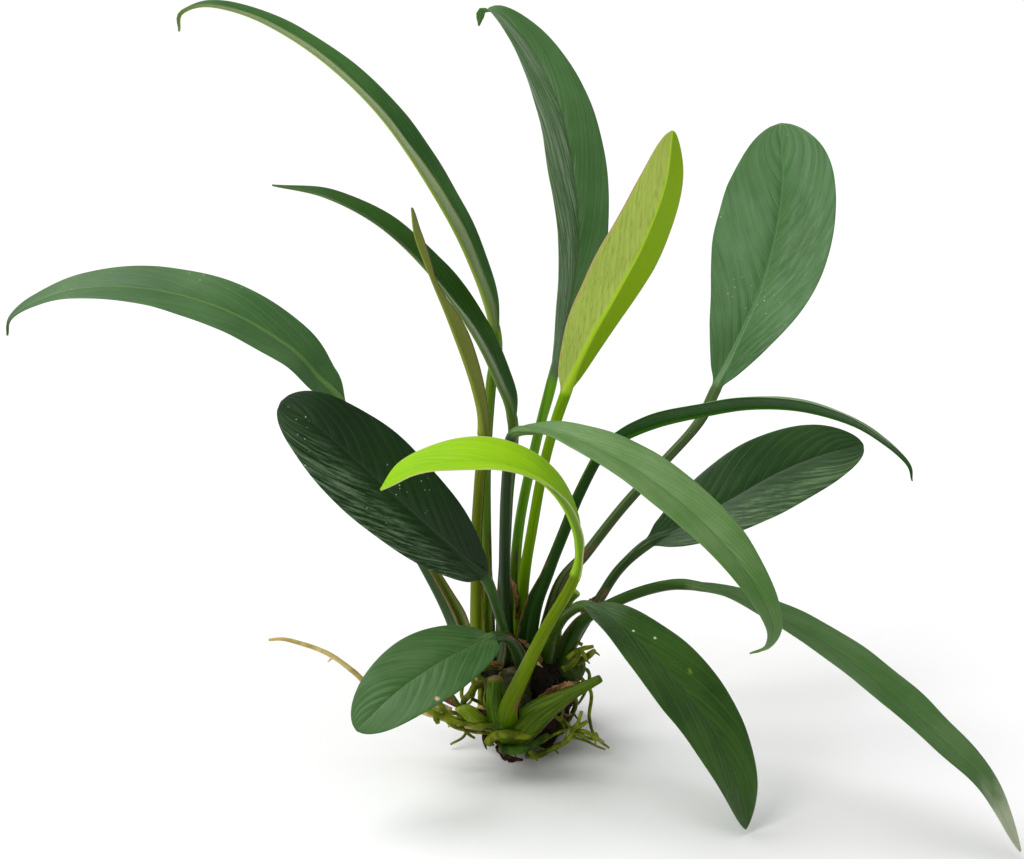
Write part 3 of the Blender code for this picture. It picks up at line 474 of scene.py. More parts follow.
class Graph:
    """Short calls for building one material's nodes."""

    def __init__(self, name, roughness=0.5, specular=0.5):
        self.material = bpy.data.materials.new(name)
        self.material.use_nodes = True
        self.tree = self.material.node_tree
        self.shader = self.tree.nodes["Principled BSDF"]
        self.shader.inputs["Roughness"].default_value = roughness
        self.shader.inputs["Specular IOR Level"].default_value = specular

    def put(self, value, socket):
        """Connect a socket or set a number or colour."""
        if isinstance(value, bpy.types.NodeSocket):
            self.tree.links.new(value, socket)
        elif isinstance(value, tuple) and socket.type == 'RGBA':
            socket.default_value = (*value, 1.0)
        else:
            socket.default_value = value

    def math(self, operation, a, b=0.0):
        node = self.tree.nodes.new("ShaderNodeMath")
        node.operation = operation
        self.put(a, node.inputs[0])
        self.put(b, node.inputs[1])
        return node.outputs[0]

    def times(self, a, b):
        return self.math('MULTIPLY', a, b)

    def plus(self, a, b):
        return self.math('ADD', a, b)

    def mark(self, name):
        """A value stored on the mesh."""
        node = self.tree.nodes.new("ShaderNodeAttribute")
        node.attribute_name = name
        return node.outputs["Fac"]

    def place(self):
        """The point's own place, in metres."""
        node = self.tree.nodes.new("ShaderNodeTexCoord")
        return node.outputs["Object"]

    def vector(self, x, y, z=0.0):
        node = self.tree.nodes.new("ShaderNodeCombineXYZ")
        for value, socket in zip((x, y, z), node.inputs):
            self.put(value, socket)
        return node.outputs[0]

    def cloud(self, where, scale, detail=3.0, roughness=0.55):
        """Noise from 0 to 1."""
        node = self.tree.nodes.new("ShaderNodeTexNoise")
        self.put(where, node.inputs["Vector"])
        node.inputs["Scale"].default_value = scale
        node.inputs["Detail"].default_value = detail
        node.inputs["Roughness"].default_value = roughness
        return node.outputs["Fac"]

    def cells(self, where, scale):
        """Distance to the nearest of scattered points."""
        node = self.tree.nodes.new("ShaderNodeTexVoronoi")
        self.put(where, node.inputs["Vector"])
        node.inputs["Scale"].default_value = scale
        return node.outputs["Distance"]

    def step(self, value, low, high):
        """0 at low, 1 at high, and smooth between; low may be the larger."""
        node = self.tree.nodes.new("ShaderNodeMapRange")
        node.interpolation_type = 'SMOOTHSTEP'
        self.put(value, node.inputs["Value"])
        node.inputs["From Min"].default_value = low
        node.inputs["From Max"].default_value = high
        return node.outputs["Result"]

    def mix(self, factor, first, second):
        """Colour mix."""
        node = self.tree.nodes.new("ShaderNodeMix")
        node.data_type = 'RGBA'
        self.put(factor, node.inputs["Factor"])
        self.put(first, node.inputs[6])
        self.put(second, node.inputs[7])
        return node.outputs[2]

    def bump(self, height, strength, distance):
        node = self.tree.nodes.new("ShaderNodeBump")
        node.inputs["Strength"].default_value = strength
        node.inputs["Distance"].default_value = distance
        self.put(height, node.inputs["Height"])
        self.tree.links.new(node.outputs["Normal"], self.shader.inputs["Normal"])

    def finish(self, colour, roughness=None):
        self.put(colour, self.shader.inputs["Base Color"])
        if roughness is not None:
            self.put(roughness, self.shader.inputs["Roughness"])
        return self.material


class LeafSkin(Graph):
    """The nodes that the colours of one leaf share."""

    def __init__(self, name, gloss, specular):
        super().__init__(name, gloss, specular)
        self.across, self.reach, self.wing = self.mark("across"), self.mark("reach"), self.mark("wing")
        self.grow, self.upper, self.phase = self.mark("grow"), self.mark("upper"), self.mark("phase")
        self.where = self.place()
        self.distance = self.math('ABSOLUTE', self.across)
        self.main = self.step(self.math('PINGPONG', self.phase, 0.5), 0.40, 0.5)
        self.fine = self.step(self.math('PINGPONG', self.times(self.phase, 5.0), 0.5), 0.15, 0.5)
        streak = self.cloud(self.vector(self.phase, self.times(self.distance, 0.04)), 2.2, 4.0, 0.6)
        patch = self.cloud(self.where, 45.0)
        self.tone = self.step(self.plus(self.times(patch, 0.5), self.times(streak, 0.5)), 0.32, 0.68)
        self.rib_line = self.step(self.mark("rib"), 1.25, 0.45)
        self.blade = self.step(self.grow, 1.0, 1.03)


def upper_face(g, deep, mid, vein, rib, vein_amount, rib_amount, painted_sheen):
    """Blotched green with paler veins; a painted sheen, a paler tint that stands in for reflected light, is
    brushed over one side.
    """
    # The face's own colour blends deep and mid at random; the paler, greyer mid and vein tints are partly
    # the leaf's own colour and partly painted sheen.
    colour = g.mix(g.tone, deep, mid)
    # Painted sheen: streaks of a paler tint over one side of the upper face, painted in where light reflects
    # off the leaf.
    if painted_sheen:
        tint, low_side, high_side, amount = painted_sheen
        grain = g.vector(g.times(g.phase, 0.9), g.times(g.distance, 0.1))
        sheen_streaks = g.step(g.cloud(grain, 3.0, 5.0, 0.7), 0.42, 0.68)
        band = g.times(sheen_streaks, g.step(g.across, low_side, high_side))
        colour = g.mix(g.times(band, amount), colour, tint)
    colour = g.mix(g.times(g.fine, vein_amount * 0.35), colour, vein)
    colour = g.mix(g.times(g.main, vein_amount), colour, vein)
    return g.mix(g.times(g.rib_line, rib_amount), colour, rib)


def under_face(g, under, line, rib, amount, mottle, painted_backlit_half):
    """The underside, with lines over its veins; its other half can take a colour of its own, painted light
    shining through the leaf from behind.
    """
    colour = g.mix(g.tone, tuple(c * 0.78 for c in under), under)
    colour = g.mix(g.times(g.fine, amount * 0.4), colour, line)
    colour = g.mix(g.times(g.main, amount), colour, line)
    if mottle:
        grain = g.vector(g.times(g.phase, 2.0), g.distance)
        speck = g.step(g.cloud(grain, 0.9, 3.0, 0.6), 0.5, 0.66)
        colour = g.mix(g.times(speck, 0.55), colour, mottle)
    # Painted light: a deeper, more saturated green over the other half of the underside stands in for light
    # shining through the leaf from behind.
    if painted_backlit_half:
        other = g.mix(g.times(g.main, 0.25), painted_backlit_half, line)
        colour = g.mix(g.step(g.across, -0.6, 0.6), colour, other)
    return g.mix(g.times(g.rib_line, 0.85), colour, rib)


def stalk_face(g, stem, stem_top):
    """Streaks along the stalk, and a lighter upper side."""
    grain = g.vector(g.times(g.across, 3.0), g.times(g.reach, 0.05))
    streak = g.step(g.cloud(grain, 1.0, 4.0), 0.35, 0.7)
    outer = g.mix(streak, tuple(c * 0.7 for c in stem), stem)
    return g.mix(g.upper, outer, stem_top or tuple(c * 1.25 for c in stem))


def sheath_wear(g, colour, sheath_top, foot):
    """Browned sheath edges, a foot of its own colour, and dark brown patches low on the stalk that fade out
    upwards.
    """
    rag = g.plus(g.wing, g.times(g.cloud(g.where, 400.0), 0.35))
    browned = g.times(g.step(rag, 0.98, 1.18), g.step(g.grow, sheath_top, sheath_top - 0.06))
    colour = g.mix(browned, colour, g.mix(g.cloud(g.where, 900.0), BROWN, PALE_BROWN))
    if foot:
        colour = g.mix(g.step(g.grow, 0.22, 0.0), colour, foot)
    # Dark brown patches over the lowest part of each stalk, strongest at its foot.
    low_dark = g.step(g.cloud(g.where, 520.0, 5.0, 0.7), 0.60, 0.72)
    return g.mix(g.times(g.times(low_dark, g.step(g.grow, 0.35, 0.0)), 0.7), colour, LOW_STALK_DARK)


def flecked(g, colour, amount):
    """Small torn pale flecks, in patches."""
    torn = g.plus(g.cells(g.where, 620.0), g.times(g.cloud(g.where, 1100.0), 0.35))
    patch = g.step(g.cloud(g.where, 46.0, 2.0), 0.54, 0.62)
    return g.mix(g.times(g.times(g.step(torn, 0.30, 0.24), patch), amount), colour, FLECK)


def tipped(g, colour, tint, start):
    """A tip of another colour, from a place along the leaf: 1 is the blade's foot and 2 its tip."""
    ragged = g.plus(g.grow, g.times(g.cloud(g.where, 150.0), 0.1))
    return g.mix(g.step(ragged, start, start + 0.12), colour, tint)


def spotted(g, colour, reach, across, size, tint):
    """One ragged spot at a place on the blade, in mm."""
    dx = g.math('SUBTRACT', g.across, across)
    dy = g.math('SUBTRACT', g.reach, reach)
    gap = g.math('SQRT', g.plus(g.times(dx, dx), g.times(dy, dy)))
    gap = g.plus(gap, g.times(g.cloud(g.where, 700.0, 4.0), size * 1.2))
    return g.mix(g.step(gap, size * 1.5, size * 0.9), colour, tint)


def relief(g):
    """Sunken veins on the blade and a fine grain everywhere."""
    veins = g.times(g.plus(g.times(g.main, -0.8), g.times(g.fine, -0.35)), g.blade)
    g.bump(g.plus(veins, g.times(g.cloud(g.where, 1400.0), 0.5)), 0.35, 0.00012)


def leaf_material(name, sheath_top, deep, mid, stem, vein=VEIN, under=UNDER, under_vein=None, rib=RIB,
                  rib_under=None, stem_top=None, gloss=0.38, specular=0.2, vein_amount=0.25, rib_amount=0.4,
                  under_amount=0.4, flecks=0.0, spots=(), edge=None, foot=None, painted_backlit_half=None,
                  pale_tip=None, mottle=None, painted_sheen=None):
    """Leaf skin: an upper face, an underside, slanting veins, a midrib, a stalk, browned sheath edges; on
    some leaves a painted sheen on the upper face and painted light through one half of the underside.
    """
    g = LeafSkin(name, gloss, specular)
    line = under_vein or tuple(c * 1.5 for c in under)
    top = upper_face(g, deep, mid, vein, rib, vein_amount, rib_amount, painted_sheen)
    low = under_face(g, under, line, rib_under or rib, under_amount, mottle, painted_backlit_half)
    colour = g.mix(g.blade, stalk_face(g, stem, stem_top), g.mix(g.step(g.upper, 0.3, 0.7), low, top))
    if edge:
        colour = g.mix(g.times(g.step(g.wing, 0.93, 0.99), g.blade), colour, edge)
    colour = sheath_wear(g, colour, sheath_top, foot)
    if flecks:
        colour = flecked(g, colour, flecks)
    if pale_tip:
        colour = tipped(g, colour, *pale_tip)
    for spot in spots:
        colour = spotted(g, colour, *spot)
    relief(g)
    return g.finish(colour, g.plus(g.times(g.cloud(g.where, 160.0, 4.0), 0.22), gloss - 0.11))


# ---- leaves ----

EDGE_STEPS = (0.90, 0.95, 0.98, 0.994)
INNER = [0.9 * k / HALF_COLUMNS for k in range(HALF_COLUMNS)]
HALF = np.array(INNER + list(EDGE_STEPS) + [1.0])
ACROSS = np.concatenate([HALF[::-1], -HALF[1:]])          # from one edge to the other over the upper face
RING = np.concatenate([ACROSS, ACROSS[-2:0:-1]])          # and back over the lower face
ON_TOP = np.concatenate([np.ones(len(ACROSS)), np.zeros(len(ACROSS) - 2)])
ON_TOP[0] = ON_TOP[len(ACROSS) - 1] = 0.5


def leaf_frame(leaf, tangent, t):
    """Side and upper-face directions of a leaf at t along its blade."""
    foot, tip = Vector(leaf.stalk[-1]), Vector(leaf.blade[-1])
    outward = Vector((tip.x - foot.x, tip.y - foot.y, 0.0)).normalized()
    side = UP.cross(outward)
    side = (side - side.dot(tangent) * tangent).normalized()
    face = tangent.cross(side)
    angle = math.radians(between(leaf.turn, t)) * (1 if outward.x > 0 else -1)
    return (math.cos(angle) * side + math.sin(angle) * face,
            math.cos(angle) * face - math.sin(angle) * side)


def leaf_section(leaf, s, t, seed):
    """The rib's radius, half width, fold and roundness at s along the stalk and t along the blade."""
    if t <= 0:
        cover, spread = leaf.sheath
        rib = run_through(leaf.stalk_radii, s) if leaf.stalk_radii else STALK_RADIUS * (1.12 - 0.14 * s)
        open_part = 1 - ease(0.0, cover, s)
        wing = spread * open_part ** 0.8 * (1 + 0.12 * wobble(s * 9, seed, 3.0))
        fold = SHEATH_FOLD + (leaf.fold[0] - SHEATH_FOLD) * ease(0.8, 1.0, s)
        return rib, rib + wing, fold, 0.5
    thin = STALK_RADIUS * (1 - t) ** 4
    top_rib = run_through(leaf.stalk_radii, 1.0) if leaf.stalk_radii else STALK_RADIUS * 0.98
    rib = top_rib * (1 - t) ** 1.6 * (0.4 + 0.6 * (1 - t) ** 6) + 0.2 * ease(0.0, 0.3, t)
    if leaf.outline:
        half_width = run_through(leaf.outline, t)
    else:
        a, b = leaf.swell
        widest = a / (a + b)
        half_width = leaf.half_width * (t / widest) ** a * ((1 - t) / (1 - widest)) ** b
        half_width *= ease(-0.05, 0.07, t)
    width = max(math.hypot(half_width, thin), rib, 0.25)
    return rib, width, between(leaf.fold, t), 0.5 + 0.6 * ease(0.0, 0.15, t)


def skin_lift(x, rib, width, shape, blade, t):
    """How far the skin stands off the leaf's middle surface: a grooved stalk that thins to a flat blade."""
    inside = np.clip(np.abs(x) / (rib * 1.02), 0, 1)
    round_part = np.sqrt(1 - inside ** 2) ** (2 * shape)
    rim = np.sqrt(np.clip(1 - (np.clip(np.abs(RING) - 0.95, 0, 1) / 0.05) ** 2, 0, 1))
    skin = LAMINA * rim * min(1.0, 3 * max(0.0, 1 - rib / width)) * (1 - 0.35 * t)
    groove = 0.22 * rib * np.exp(-(x / (0.45 * rib)) ** 2) * (1 - blade)
    crest = rib * (1 - 0.8 * blade)
    keel = rib * (1 - 0.22 * blade)
    lift = np.where(ON_TOP > 0.4, skin + crest * round_part - groove, -(skin + keel * round_part))
    return np.where(ON_TOP == 0.5, 0.0, lift)


def leaf_ring(leaf, s, t, reach, seed):
    """One ring as offsets to the side, up, and off the surface, the surface's tilt, and the ring's marks."""
    u = RING
    rib, width, fold, shape = leaf_section(leaf, s, t, seed)
    blade = float(ease(0.0, 0.12, t))
    edge_wave = [leaf.wave * blade * wobble(reach / 13, seed * 3.7, k * 5.1) for k in (1, 2)]
    edge_width = [1 + 0.035 * blade * wobble(reach / 17, seed * 2.3, k * 9.4) for k in (1, 2)]
    wide = np.where(u > 0, width * edge_width[0], width * edge_width[1])
    x = rib * np.sin(u * math.pi / 2) + (wide - rib) * u * np.abs(u) ** 1.15
    spread = np.clip(np.abs(x) / wide, 0, 1)
    drift = [0.16 * wobble(t * 6, seed, k) for k in (1, 2)]
    phase = ((t + 1 - leaf.vein_lean * spread ** 1.25) * leaf.veins
             + np.where(u > 0, drift[0], drift[1] + 0.37))

    slant = math.radians(fold)
    soft = np.sqrt(x * x + (0.5 * rib) ** 2) - 0.5 * rib
    tilt = x / np.sqrt(x * x + (0.5 * rib + 0.2) ** 2) * slant
    arch = ARCH * wide * np.sin(math.pi * np.clip(np.abs(u), 0, 1)) * blade
    waves = np.where(u > 0, edge_wave[0], edge_wave[1]) * np.abs(u) ** 3
    pucker = (leaf.pucker * blade * np.cos(2 * math.pi * phase) * ease(rib * 0.8, rib + 1.5, np.abs(x))
              * (1 - spread ** 4) * (1 - 0.6 * t))
    height = soft * math.sin(slant) + arch + waves + pucker
    marks = {"across": x, "reach": np.full(len(u), reach), "wing": spread, "grow": np.full(len(u), s + t),
             "upper": ON_TOP, "rib": np.abs(x) / rib, "phase": phase}
    return x * math.cos(slant), height, skin_lift(x, rib, width, shape, blade, t), tilt, marks


def leaf_rows(leaf, seed):
    """Points of every ring of a leaf, and the marks that its material reads."""
    path, places = smooth_path(leaf.stalk + leaf.blade)
    foot = places[len(leaf.stalk) - 1]
    stalk_path, blade_path = path[:foot + 1], path[foot:]
    centres = along(stalk_path, STALK_ROWS) + along(blade_path, BLADE_ROWS)[1:]
    stalk_length, blade_length = path_length(stalk_path), path_length(blade_path)
    points, kept = [], []
    for index, centre in enumerate(centres):
        s = min(index / (STALK_ROWS - 1), 1.0)
        t = max(index - STALK_ROWS + 1, 0) / (BLADE_ROWS - 1)
        reach = t * blade_length if t > 0 else (s - 1) * stalk_length
        side, face = (np.array(way)[None] for way in leaf_frame(leaf, direction_at(centres, index), t))
        sideways, height, lift, tilt, marks = leaf_ring(leaf, s, t, reach, seed)
        normal = face * np.cos(tilt)[:, None] - side * np.sin(tilt)[:, None]
        points.append(np.array(centre)[None] + side * sideways[:, None] + face * height[:, None]
                      + normal * lift[:, None])
        kept.append(marks)
    return np.concatenate(points), {key: np.concatenate([marks[key] for marks in kept]) for key in kept[0]}


def add_leaves():
    """Each leaf piece in place of its solid."""
    faces = ring_faces(STALK_ROWS + BLADE_ROWS - 1, len(RING))
    for seed, (name, leaf) in enumerate(LEAVES.items(), 1):
        verts, kept = leaf_rows(leaf, seed)
        material = leaf_material(name + "_skin", leaf.sheath[0], **leaf.look)
        piece = add_piece(name + "_visual", verts, faces, material, kept)
        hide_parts(name)


# ---- stone ----

def stone_point(heading):
    """Point of the stone's smooth shape in a direction from its centre."""
    spread = sum(abs(heading[k] / STONE_HALF_SIZE[k]) ** STONE_SQUARENESS for k in range(3))
    lumps = noise.noise(heading * 1.7 + Vector((3.1, 0.4, 1.7))) + 0.4 * noise.noise(heading * 4.5)
    return STONE_CENTRE + heading * spread ** (-1 / STONE_SQUARENESS) * (1 + STONE_ROUGHNESS * lumps)


def pit_depth(place, reach):
    """1 in the middle of a pit and 0 outside; pits lie about the points of a cell noise."""
    return max(0.0, 1 - noise.voronoi(place)[0][0] / reach) ** 1.5


def stone_material():
    """Near-black lava rock with rust and moss stains and pale grit, and painted shade deep in its pits."""
    g = Graph("stone_rock", 0.9, 0.12)
    where, pit = g.place(), g.mark("pit")
    tone = g.step(g.cloud(where, 260.0, 6.0, 0.65), 0.35, 0.68)
    colour = g.mix(tone, (0.003, 0.0025, 0.0015), (0.018, 0.012, 0.007))
    colour = g.mix(g.step(g.cloud(where, 95.0, 4.0), 0.54, 0.68), colour, (0.026, 0.009, 0.005))
    colour = g.mix(g.step(g.cloud(where, 130.0, 5.0, 0.7), 0.6, 0.72), colour, (0.01, 0.016, 0.003))
    grit = g.step(g.cells(where, 900.0), 0.2, 0.1)
    colour = g.mix(g.times(grit, 0.2), colour, (0.12, 0.09, 0.05))
    # Painted shade: the pits are darkened towards near-black, standing in for the shade that falls in them.
    colour = g.mix(g.times(pit, 0.8), colour, (0.004, 0.003, 0.002))
    g.bump(g.cloud(where, 1500.0, 6.0, 0.7), 0.6, 0.0004)
    return g.finish(colour)


def add_stone():
    """The pitted dark stone, with its flat foot on the ground."""
    shape = bmesh.new()
    bmesh.ops.create_icosphere(shape, subdivisions=7, radius=1.0)
    verts, pits = [], []
    for vertex in shape.verts:
        heading = vertex.co.normalized()
        point = stone_point(heading)
        crag = noise.hetero_terrain(point * 0.22, 0.9, 2.1, 5, 0.6) - 0.6
        pit = pit_depth(point * 0.42, 0.42)
        small_pit = pit_depth(point * 1.1 + Vector((5, 3, 1)), 0.4)
        shift = 0.55 * crag - 1.3 * pit - 0.4 * small_pit + 0.25 * noise.noise(point * 1.9)
        point = point + heading * max(-1.9, min(shift, 0.9))
        point.z = max(point.z, 0.0)
        verts.append(point)
        pits.append(min(1.0, pit + 0.6 * small_pit))
    faces = [tuple(v.index for v in face.verts) for face in shape.faces]
    shape.free()
    piece = add_piece("stone_visual", verts, faces, stone_material(), {"pit": pits})
    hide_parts("stone")


# ---- rhizome ----

def rhizome_skin():
    """One soft skin over balls along the branches, with each ball's (x, y, z, length walked) in mm."""
    shape = bmesh.new()
    spine = []
    for branch in RHIZOME_BRANCHES:
        path, _ = smooth_path([centre for centre, _ in branch], per_span=RHIZOME_STEPS)
        walked = 0.0
        for index, centre in enumerate(path):
            span = min(index // RHIZOME_STEPS, len(branch) - 2)
            part = index / RHIZOME_STEPS - span
            radius = branch[span][1] * (1 - part) + branch[span + 1][1] * part
            bmesh.ops.create_uvsphere(shape, u_segments=24, v_segments=16, radius=radius * MM,
                                      matrix=Matrix.Translation(centre * MM))
            walked += (centre - path[max(index - 1, 0)]).length
            spine.append((*centre, walked))
    mesh = bpy.data.meshes.new("rhizome_links")
    shape.to_mesh(mesh)
    shape.free()
    links = bpy.data.objects.new("rhizome_links", mesh)
    bpy.context.scene.collection.objects.link(links)
    skin = links.modifiers.new("skin", 'REMESH')
    skin.mode = 'VOXEL'
    skin.voxel_size = 0.5 * MM
    soften = links.modifiers.new("soften", 'SMOOTH')
    soften.iterations = 6
    bpy.context.view_layer.update()
    done = bpy.data.meshes.new_from_object(links.evaluated_get(bpy.context.evaluated_depsgraph_get()))
    bpy.data.objects.remove(links)
    return done, np.array(spine)


def rhizome_material():
    """Dull green bark with brown patches, pale scar rings and pale specks."""
    g = Graph("rhizome_skin", 0.7, 0.15)
    where, scar = g.place(), g.mark("scar")
    tone = g.step(g.cloud(where, 180.0, 5.0), 0.35, 0.65)
    colour = g.mix(tone, (0.009, 0.018, 0.001), (0.05, 0.08, 0.004))
    colour = g.mix(g.step(g.cloud(where, 90.0), 0.5, 0.66), colour, (0.022, 0.012, 0.004))
    ring = g.times(scar, g.step(g.cloud(where, 500.0), 0.35, 0.6))
    colour = g.mix(ring, colour, (0.13, 0.1, 0.05))
    specks = g.step(g.cells(where, 700.0), 0.22, 0.12)
    colour = g.mix(g.times(specks, 0.5), colour, (0.25, 0.23, 0.14))
    g.bump(g.cloud(where, 1300.0, 5.0, 0.65), 0.5, 0.0003)
    return g.finish(colour)


def add_rhizome():
    """The creeping stem: ringed by old leaf scars, knobbly, green where the leaf bases leave it."""
    done, spine = rhizome_skin()
    verts, scars = [], []
    for vertex in done.vertices:
        point = vertex.co / MM
        nearest = int(np.argmin(((spine[:, :3] - np.array(point)) ** 2).sum(1)))
        phase = spine[nearest, 3] / SCAR_SPACING + 0.25 * noise.noise(point * 0.25)
        scar = max(0.0, math.cos(2 * math.pi * phase)) ** 3
        bump = 0.35 * noise.noise(point * 0.55) + 0.2 * noise.noise(point * 1.6)
        verts.append(point + vertex.normal * (0.35 * scar + bump))
        scars.append(scar)
    faces = [tuple(face.vertices) for face in done.polygons]
    piece = add_piece("rhizome_visual", verts, faces, rhizome_material(), {"scar": scars})
    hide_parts("rhizome")


# ---- rods: stubs, bud, roots ----

def rod_parts(points, radii, sides, spacing, rough, seed, groove=0.0):
    """Rings along a path, from (share of length, radius) pairs.

    Returns points and faces, and each point's share of the length and height on its ring.
    """
    path, _ = smooth_path(points, per_span=12)
    count = max(6, int(path_length(path) / spacing))
    path = along(path, count)
    side = direction_at(path, 0).cross(UP)
    if side.length < 0.1:
        side = Vector((1.0, 0.0, 0.0))
    verts, shares, turns = [], [], []
    for index, centre in enumerate(path):
        tangent = direction_at(path, index)
        side = (side - side.dot(tangent) * tangent).normalized()
        other = tangent.cross(side)
        share = index / (count - 1)
        radius = run_through(radii, share)
        for k in range(sides):
            angle = 2 * math.pi * k / sides
            reach = radius * (1 + rough * wobble(index * spacing * 0.6, k * 0.9, seed))
            reach *= 1 - groove * math.exp(-((angle - math.pi / 2) / 0.5) ** 2)
            verts.append(centre + reach * (math.cos(angle) * side + math.sin(angle) * other))
            shares.append(share)
            turns.append(math.sin(angle))
    return verts, ring_faces(count, sides), shares, turns


def gather(parts):
    """Several (points, faces, marks...) parts as one."""
    verts, faces, marks = [], [], []
    for points, part_faces, *lists in parts:
        faces += [tuple(index + len(verts) for index in face) for face in part_faces]
        verts += list(points)
        marks = [old + list(new) for old, new in zip(marks or [[] for _ in lists], lists)]
    return verts, faces, marks


def stub_material(name, skin, dark, cut, cut_from, brown_top=False):
    """Skin of a cut stalk: streaks along it, browned edges, an end of its own colour."""
    g = Graph(name, 0.5, 0.12)
    where, share, turn = g.place(), g.mark("share"), g.mark("turn")
    streak = g.cloud(g.vector(g.times(turn, 4.0), g.times(share, 2.0)), 1.5, 4.0)
    colour = g.mix(g.step(streak, 0.35, 0.7), dark, skin)
    colour = g.mix(g.step(share, 0.25, 0.0), colour, dark)
    if brown_top:
        rag = g.plus(turn, g.times(g.cloud(where, 500.0, 4.0), 0.6))
        browned = g.times(g.step(rag, 1.12, 1.25), g.step(share, 0.95, 0.8))
        colour = g.mix(browned, colour, (0.11, 0.06, 0.025))
    colour = g.mix(g.step(g.cloud(where, 600.0, 5.0, 0.7), 0.62, 0.75), colour, (0.05, 0.03, 0.012))
    colour = g.mix(g.step(share, cut_from, cut_from + 0.05), colour, cut)
    g.bump(g.plus(streak, g.times(g.cloud(where, 900.0, 4.0), 0.6)), 0.4, 0.0003)
    return g.finish(colour)


def add_stubs():
    """Three cut stalks and the resting bud."""
    for name, (points, radii, groove, look) in STUBS.items():
        verts, faces, shares, turns = rod_parts(points, radii, 28, 0.35, 0.07, len(name), groove)
        material = stub_material(name + "_skin", **look)
        piece = add_piece(name + "_visual", verts, faces, material, {"share": shares, "turn": turns})
        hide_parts(name)


def root_material(name, skin, dark, tip):
    """Root skin: wrinkled and stained, with a tip of its own colour."""
    g = Graph(name, 0.6, 0.15)
    where, share = g.place(), g.mark("share")
    stain = tuple(0.5 * (a + b) for a, b in zip(dark, (0.1, 0.05, 0.02)))
    colour = g.mix(g.step(g.cloud(where, 320.0, 5.0), 0.36, 0.66), dark, skin)
    colour = g.mix(g.step(g.cloud(where, 110.0), 0.55, 0.68), colour, stain)
    colour = g.mix(g.step(share, 0.9, 1.0), colour, tip)
    g.bump(g.cloud(where, 1600.0, 4.0), 0.5, 0.0002)
    return g.finish(colour)


def taper(radius, end=0.45):
    """Radii of a root that thins to its tip."""
    return [(0, radius * 1.15), (0.5, radius), (0.9, radius * 0.75), (1, radius * end)]


def on_stone(points, radius):
    """A root's path laid on the stone's smooth shape; its first point stays."""
    laid = []
    for index, point in enumerate(along(smooth_path(points)[0], 16)):
        heading = (point - STONE_CENTRE).normalized()
        if index:
            point = stone_point(heading) + heading * (radius + 0.5)
            point.z = max(point.z, radius + 0.35)
        laid.append(tuple(point))
    return laid


def branches(points, number):
    """Places for short side rootlets along a root."""
    path = along(smooth_path(points)[0], 24)
    found = []
    for k in range(5, 22, 4):
        if wobble(k * 1.7, number * 2.3, 0.5) > -0.1:
            tangent = direction_at(path, k)
            turn = Vector((wobble(k, number, 1.0), wobble(k, number, 2.0), wobble(k, number, 3.0) - 0.15))
            turn = (turn - turn.dot(tangent) * tangent).normalized()
            heading = (turn + 0.4 * tangent).normalized()
            found.append((path[k], heading, 2.2 + 2.0 * abs(wobble(k, 7.0, number))))
    return [item for item in found if (item[0] + item[1] * item[2]).z > 0.8]


def add_roots():
    """The roots that have solids of their own, each with a few short side rootlets."""
    tints = {"root_long_left": CREAM_ROOT, "root_low_left": CREAM_ROOT,
             "root_clinging_back_left": CREAM_ROOT, "root_front_band": DARK_ROOT}
    laid = {name: (on_stone(points, radius), radius) for name, (points, radius) in CLINGING_ROOTS.items()}
    for number, (name, (points, radius)) in enumerate({**FREE_ROOTS, **laid}.items()):
        parts = [rod_parts(points, taper(radius), 12, 0.6, 0.12, number * 3.1)[:3]]
        for point, heading, length in branches(points, number):
            end = point + heading * length
            middle = point.lerp(end, 0.5) + Vector((0, 0, 0.12 * length))
            parts.append(rod_parts([point, middle, end], taper(0.3, 0.5), 6, 0.6, 0.1, number)[:3])
        verts, faces, (shares,) = gather(parts)
        material = root_material(name + "_skin", *tints.get(name, GREEN_ROOT))
        piece = add_piece(name + "_visual", verts, faces, material, {"share": shares})
        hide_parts(name)


def add_rootlets():
    """Fine rootlets, with a nub at the end of one on each side."""
    for number, (name, runs) in enumerate(ROOTLETS.items()):
        parts = [rod_parts(points, taper(radius, 0.7), 9, 0.5, 0.16, k * 2.7 + number)[:3]
                 for k, (points, radius) in enumerate(runs)]
        if name in NUBS:
            parts.append(rod_parts(*NUBS[name])[:3])
        verts, faces, (shares,) = gather(parts)
        piece = add_piece(name, verts, faces, root_material(name + "_skin", *GREEN_ROOT), {"share": shares})


# ---- rags of old sheaths and chips ----

def rag_part(points, widths, lean, seed, thick):
    """A torn strip along a path; lean is the direction that it spreads in."""
    path, _ = smooth_path(points, per_span=10)
    count = max(8, int(path_length(path) / 0.45))
    path = along(path, count)
    lean = Vector(lean).normalized()
    verts, marks = [], []
    for index, centre in enumerate(path):
        tangent = direction_at(path, index)
        across = (lean - lean.dot(tangent) * tangent).normalized()
        normal = tangent.cross(across)
        share = index / (count - 1)
        width = run_through(widths, share) * (1 + 0.35 * wobble(index * 0.5, seed, 1.0))
        width = max(width + 0.5 * wobble(index * 1.3, seed, 9.0), 0.08)
        ring = []
        for k in range(RAG_COLUMNS):
            q = k / (RAG_COLUMNS - 1)
            curl = 0.5 * wobble(index * 0.3, q * 2.0, seed) + 0.8 * q * q * wobble(index * 0.15, seed, 5.0)
            ring.append(centre + across * (q * width) + normal * curl)
        verts += [p + normal * thick for p in ring] + [p - normal * thick for p in reversed(ring)]
        marks += [share] * (2 * RAG_COLUMNS)
    return verts, ring_faces(count, 2 * RAG_COLUMNS), marks


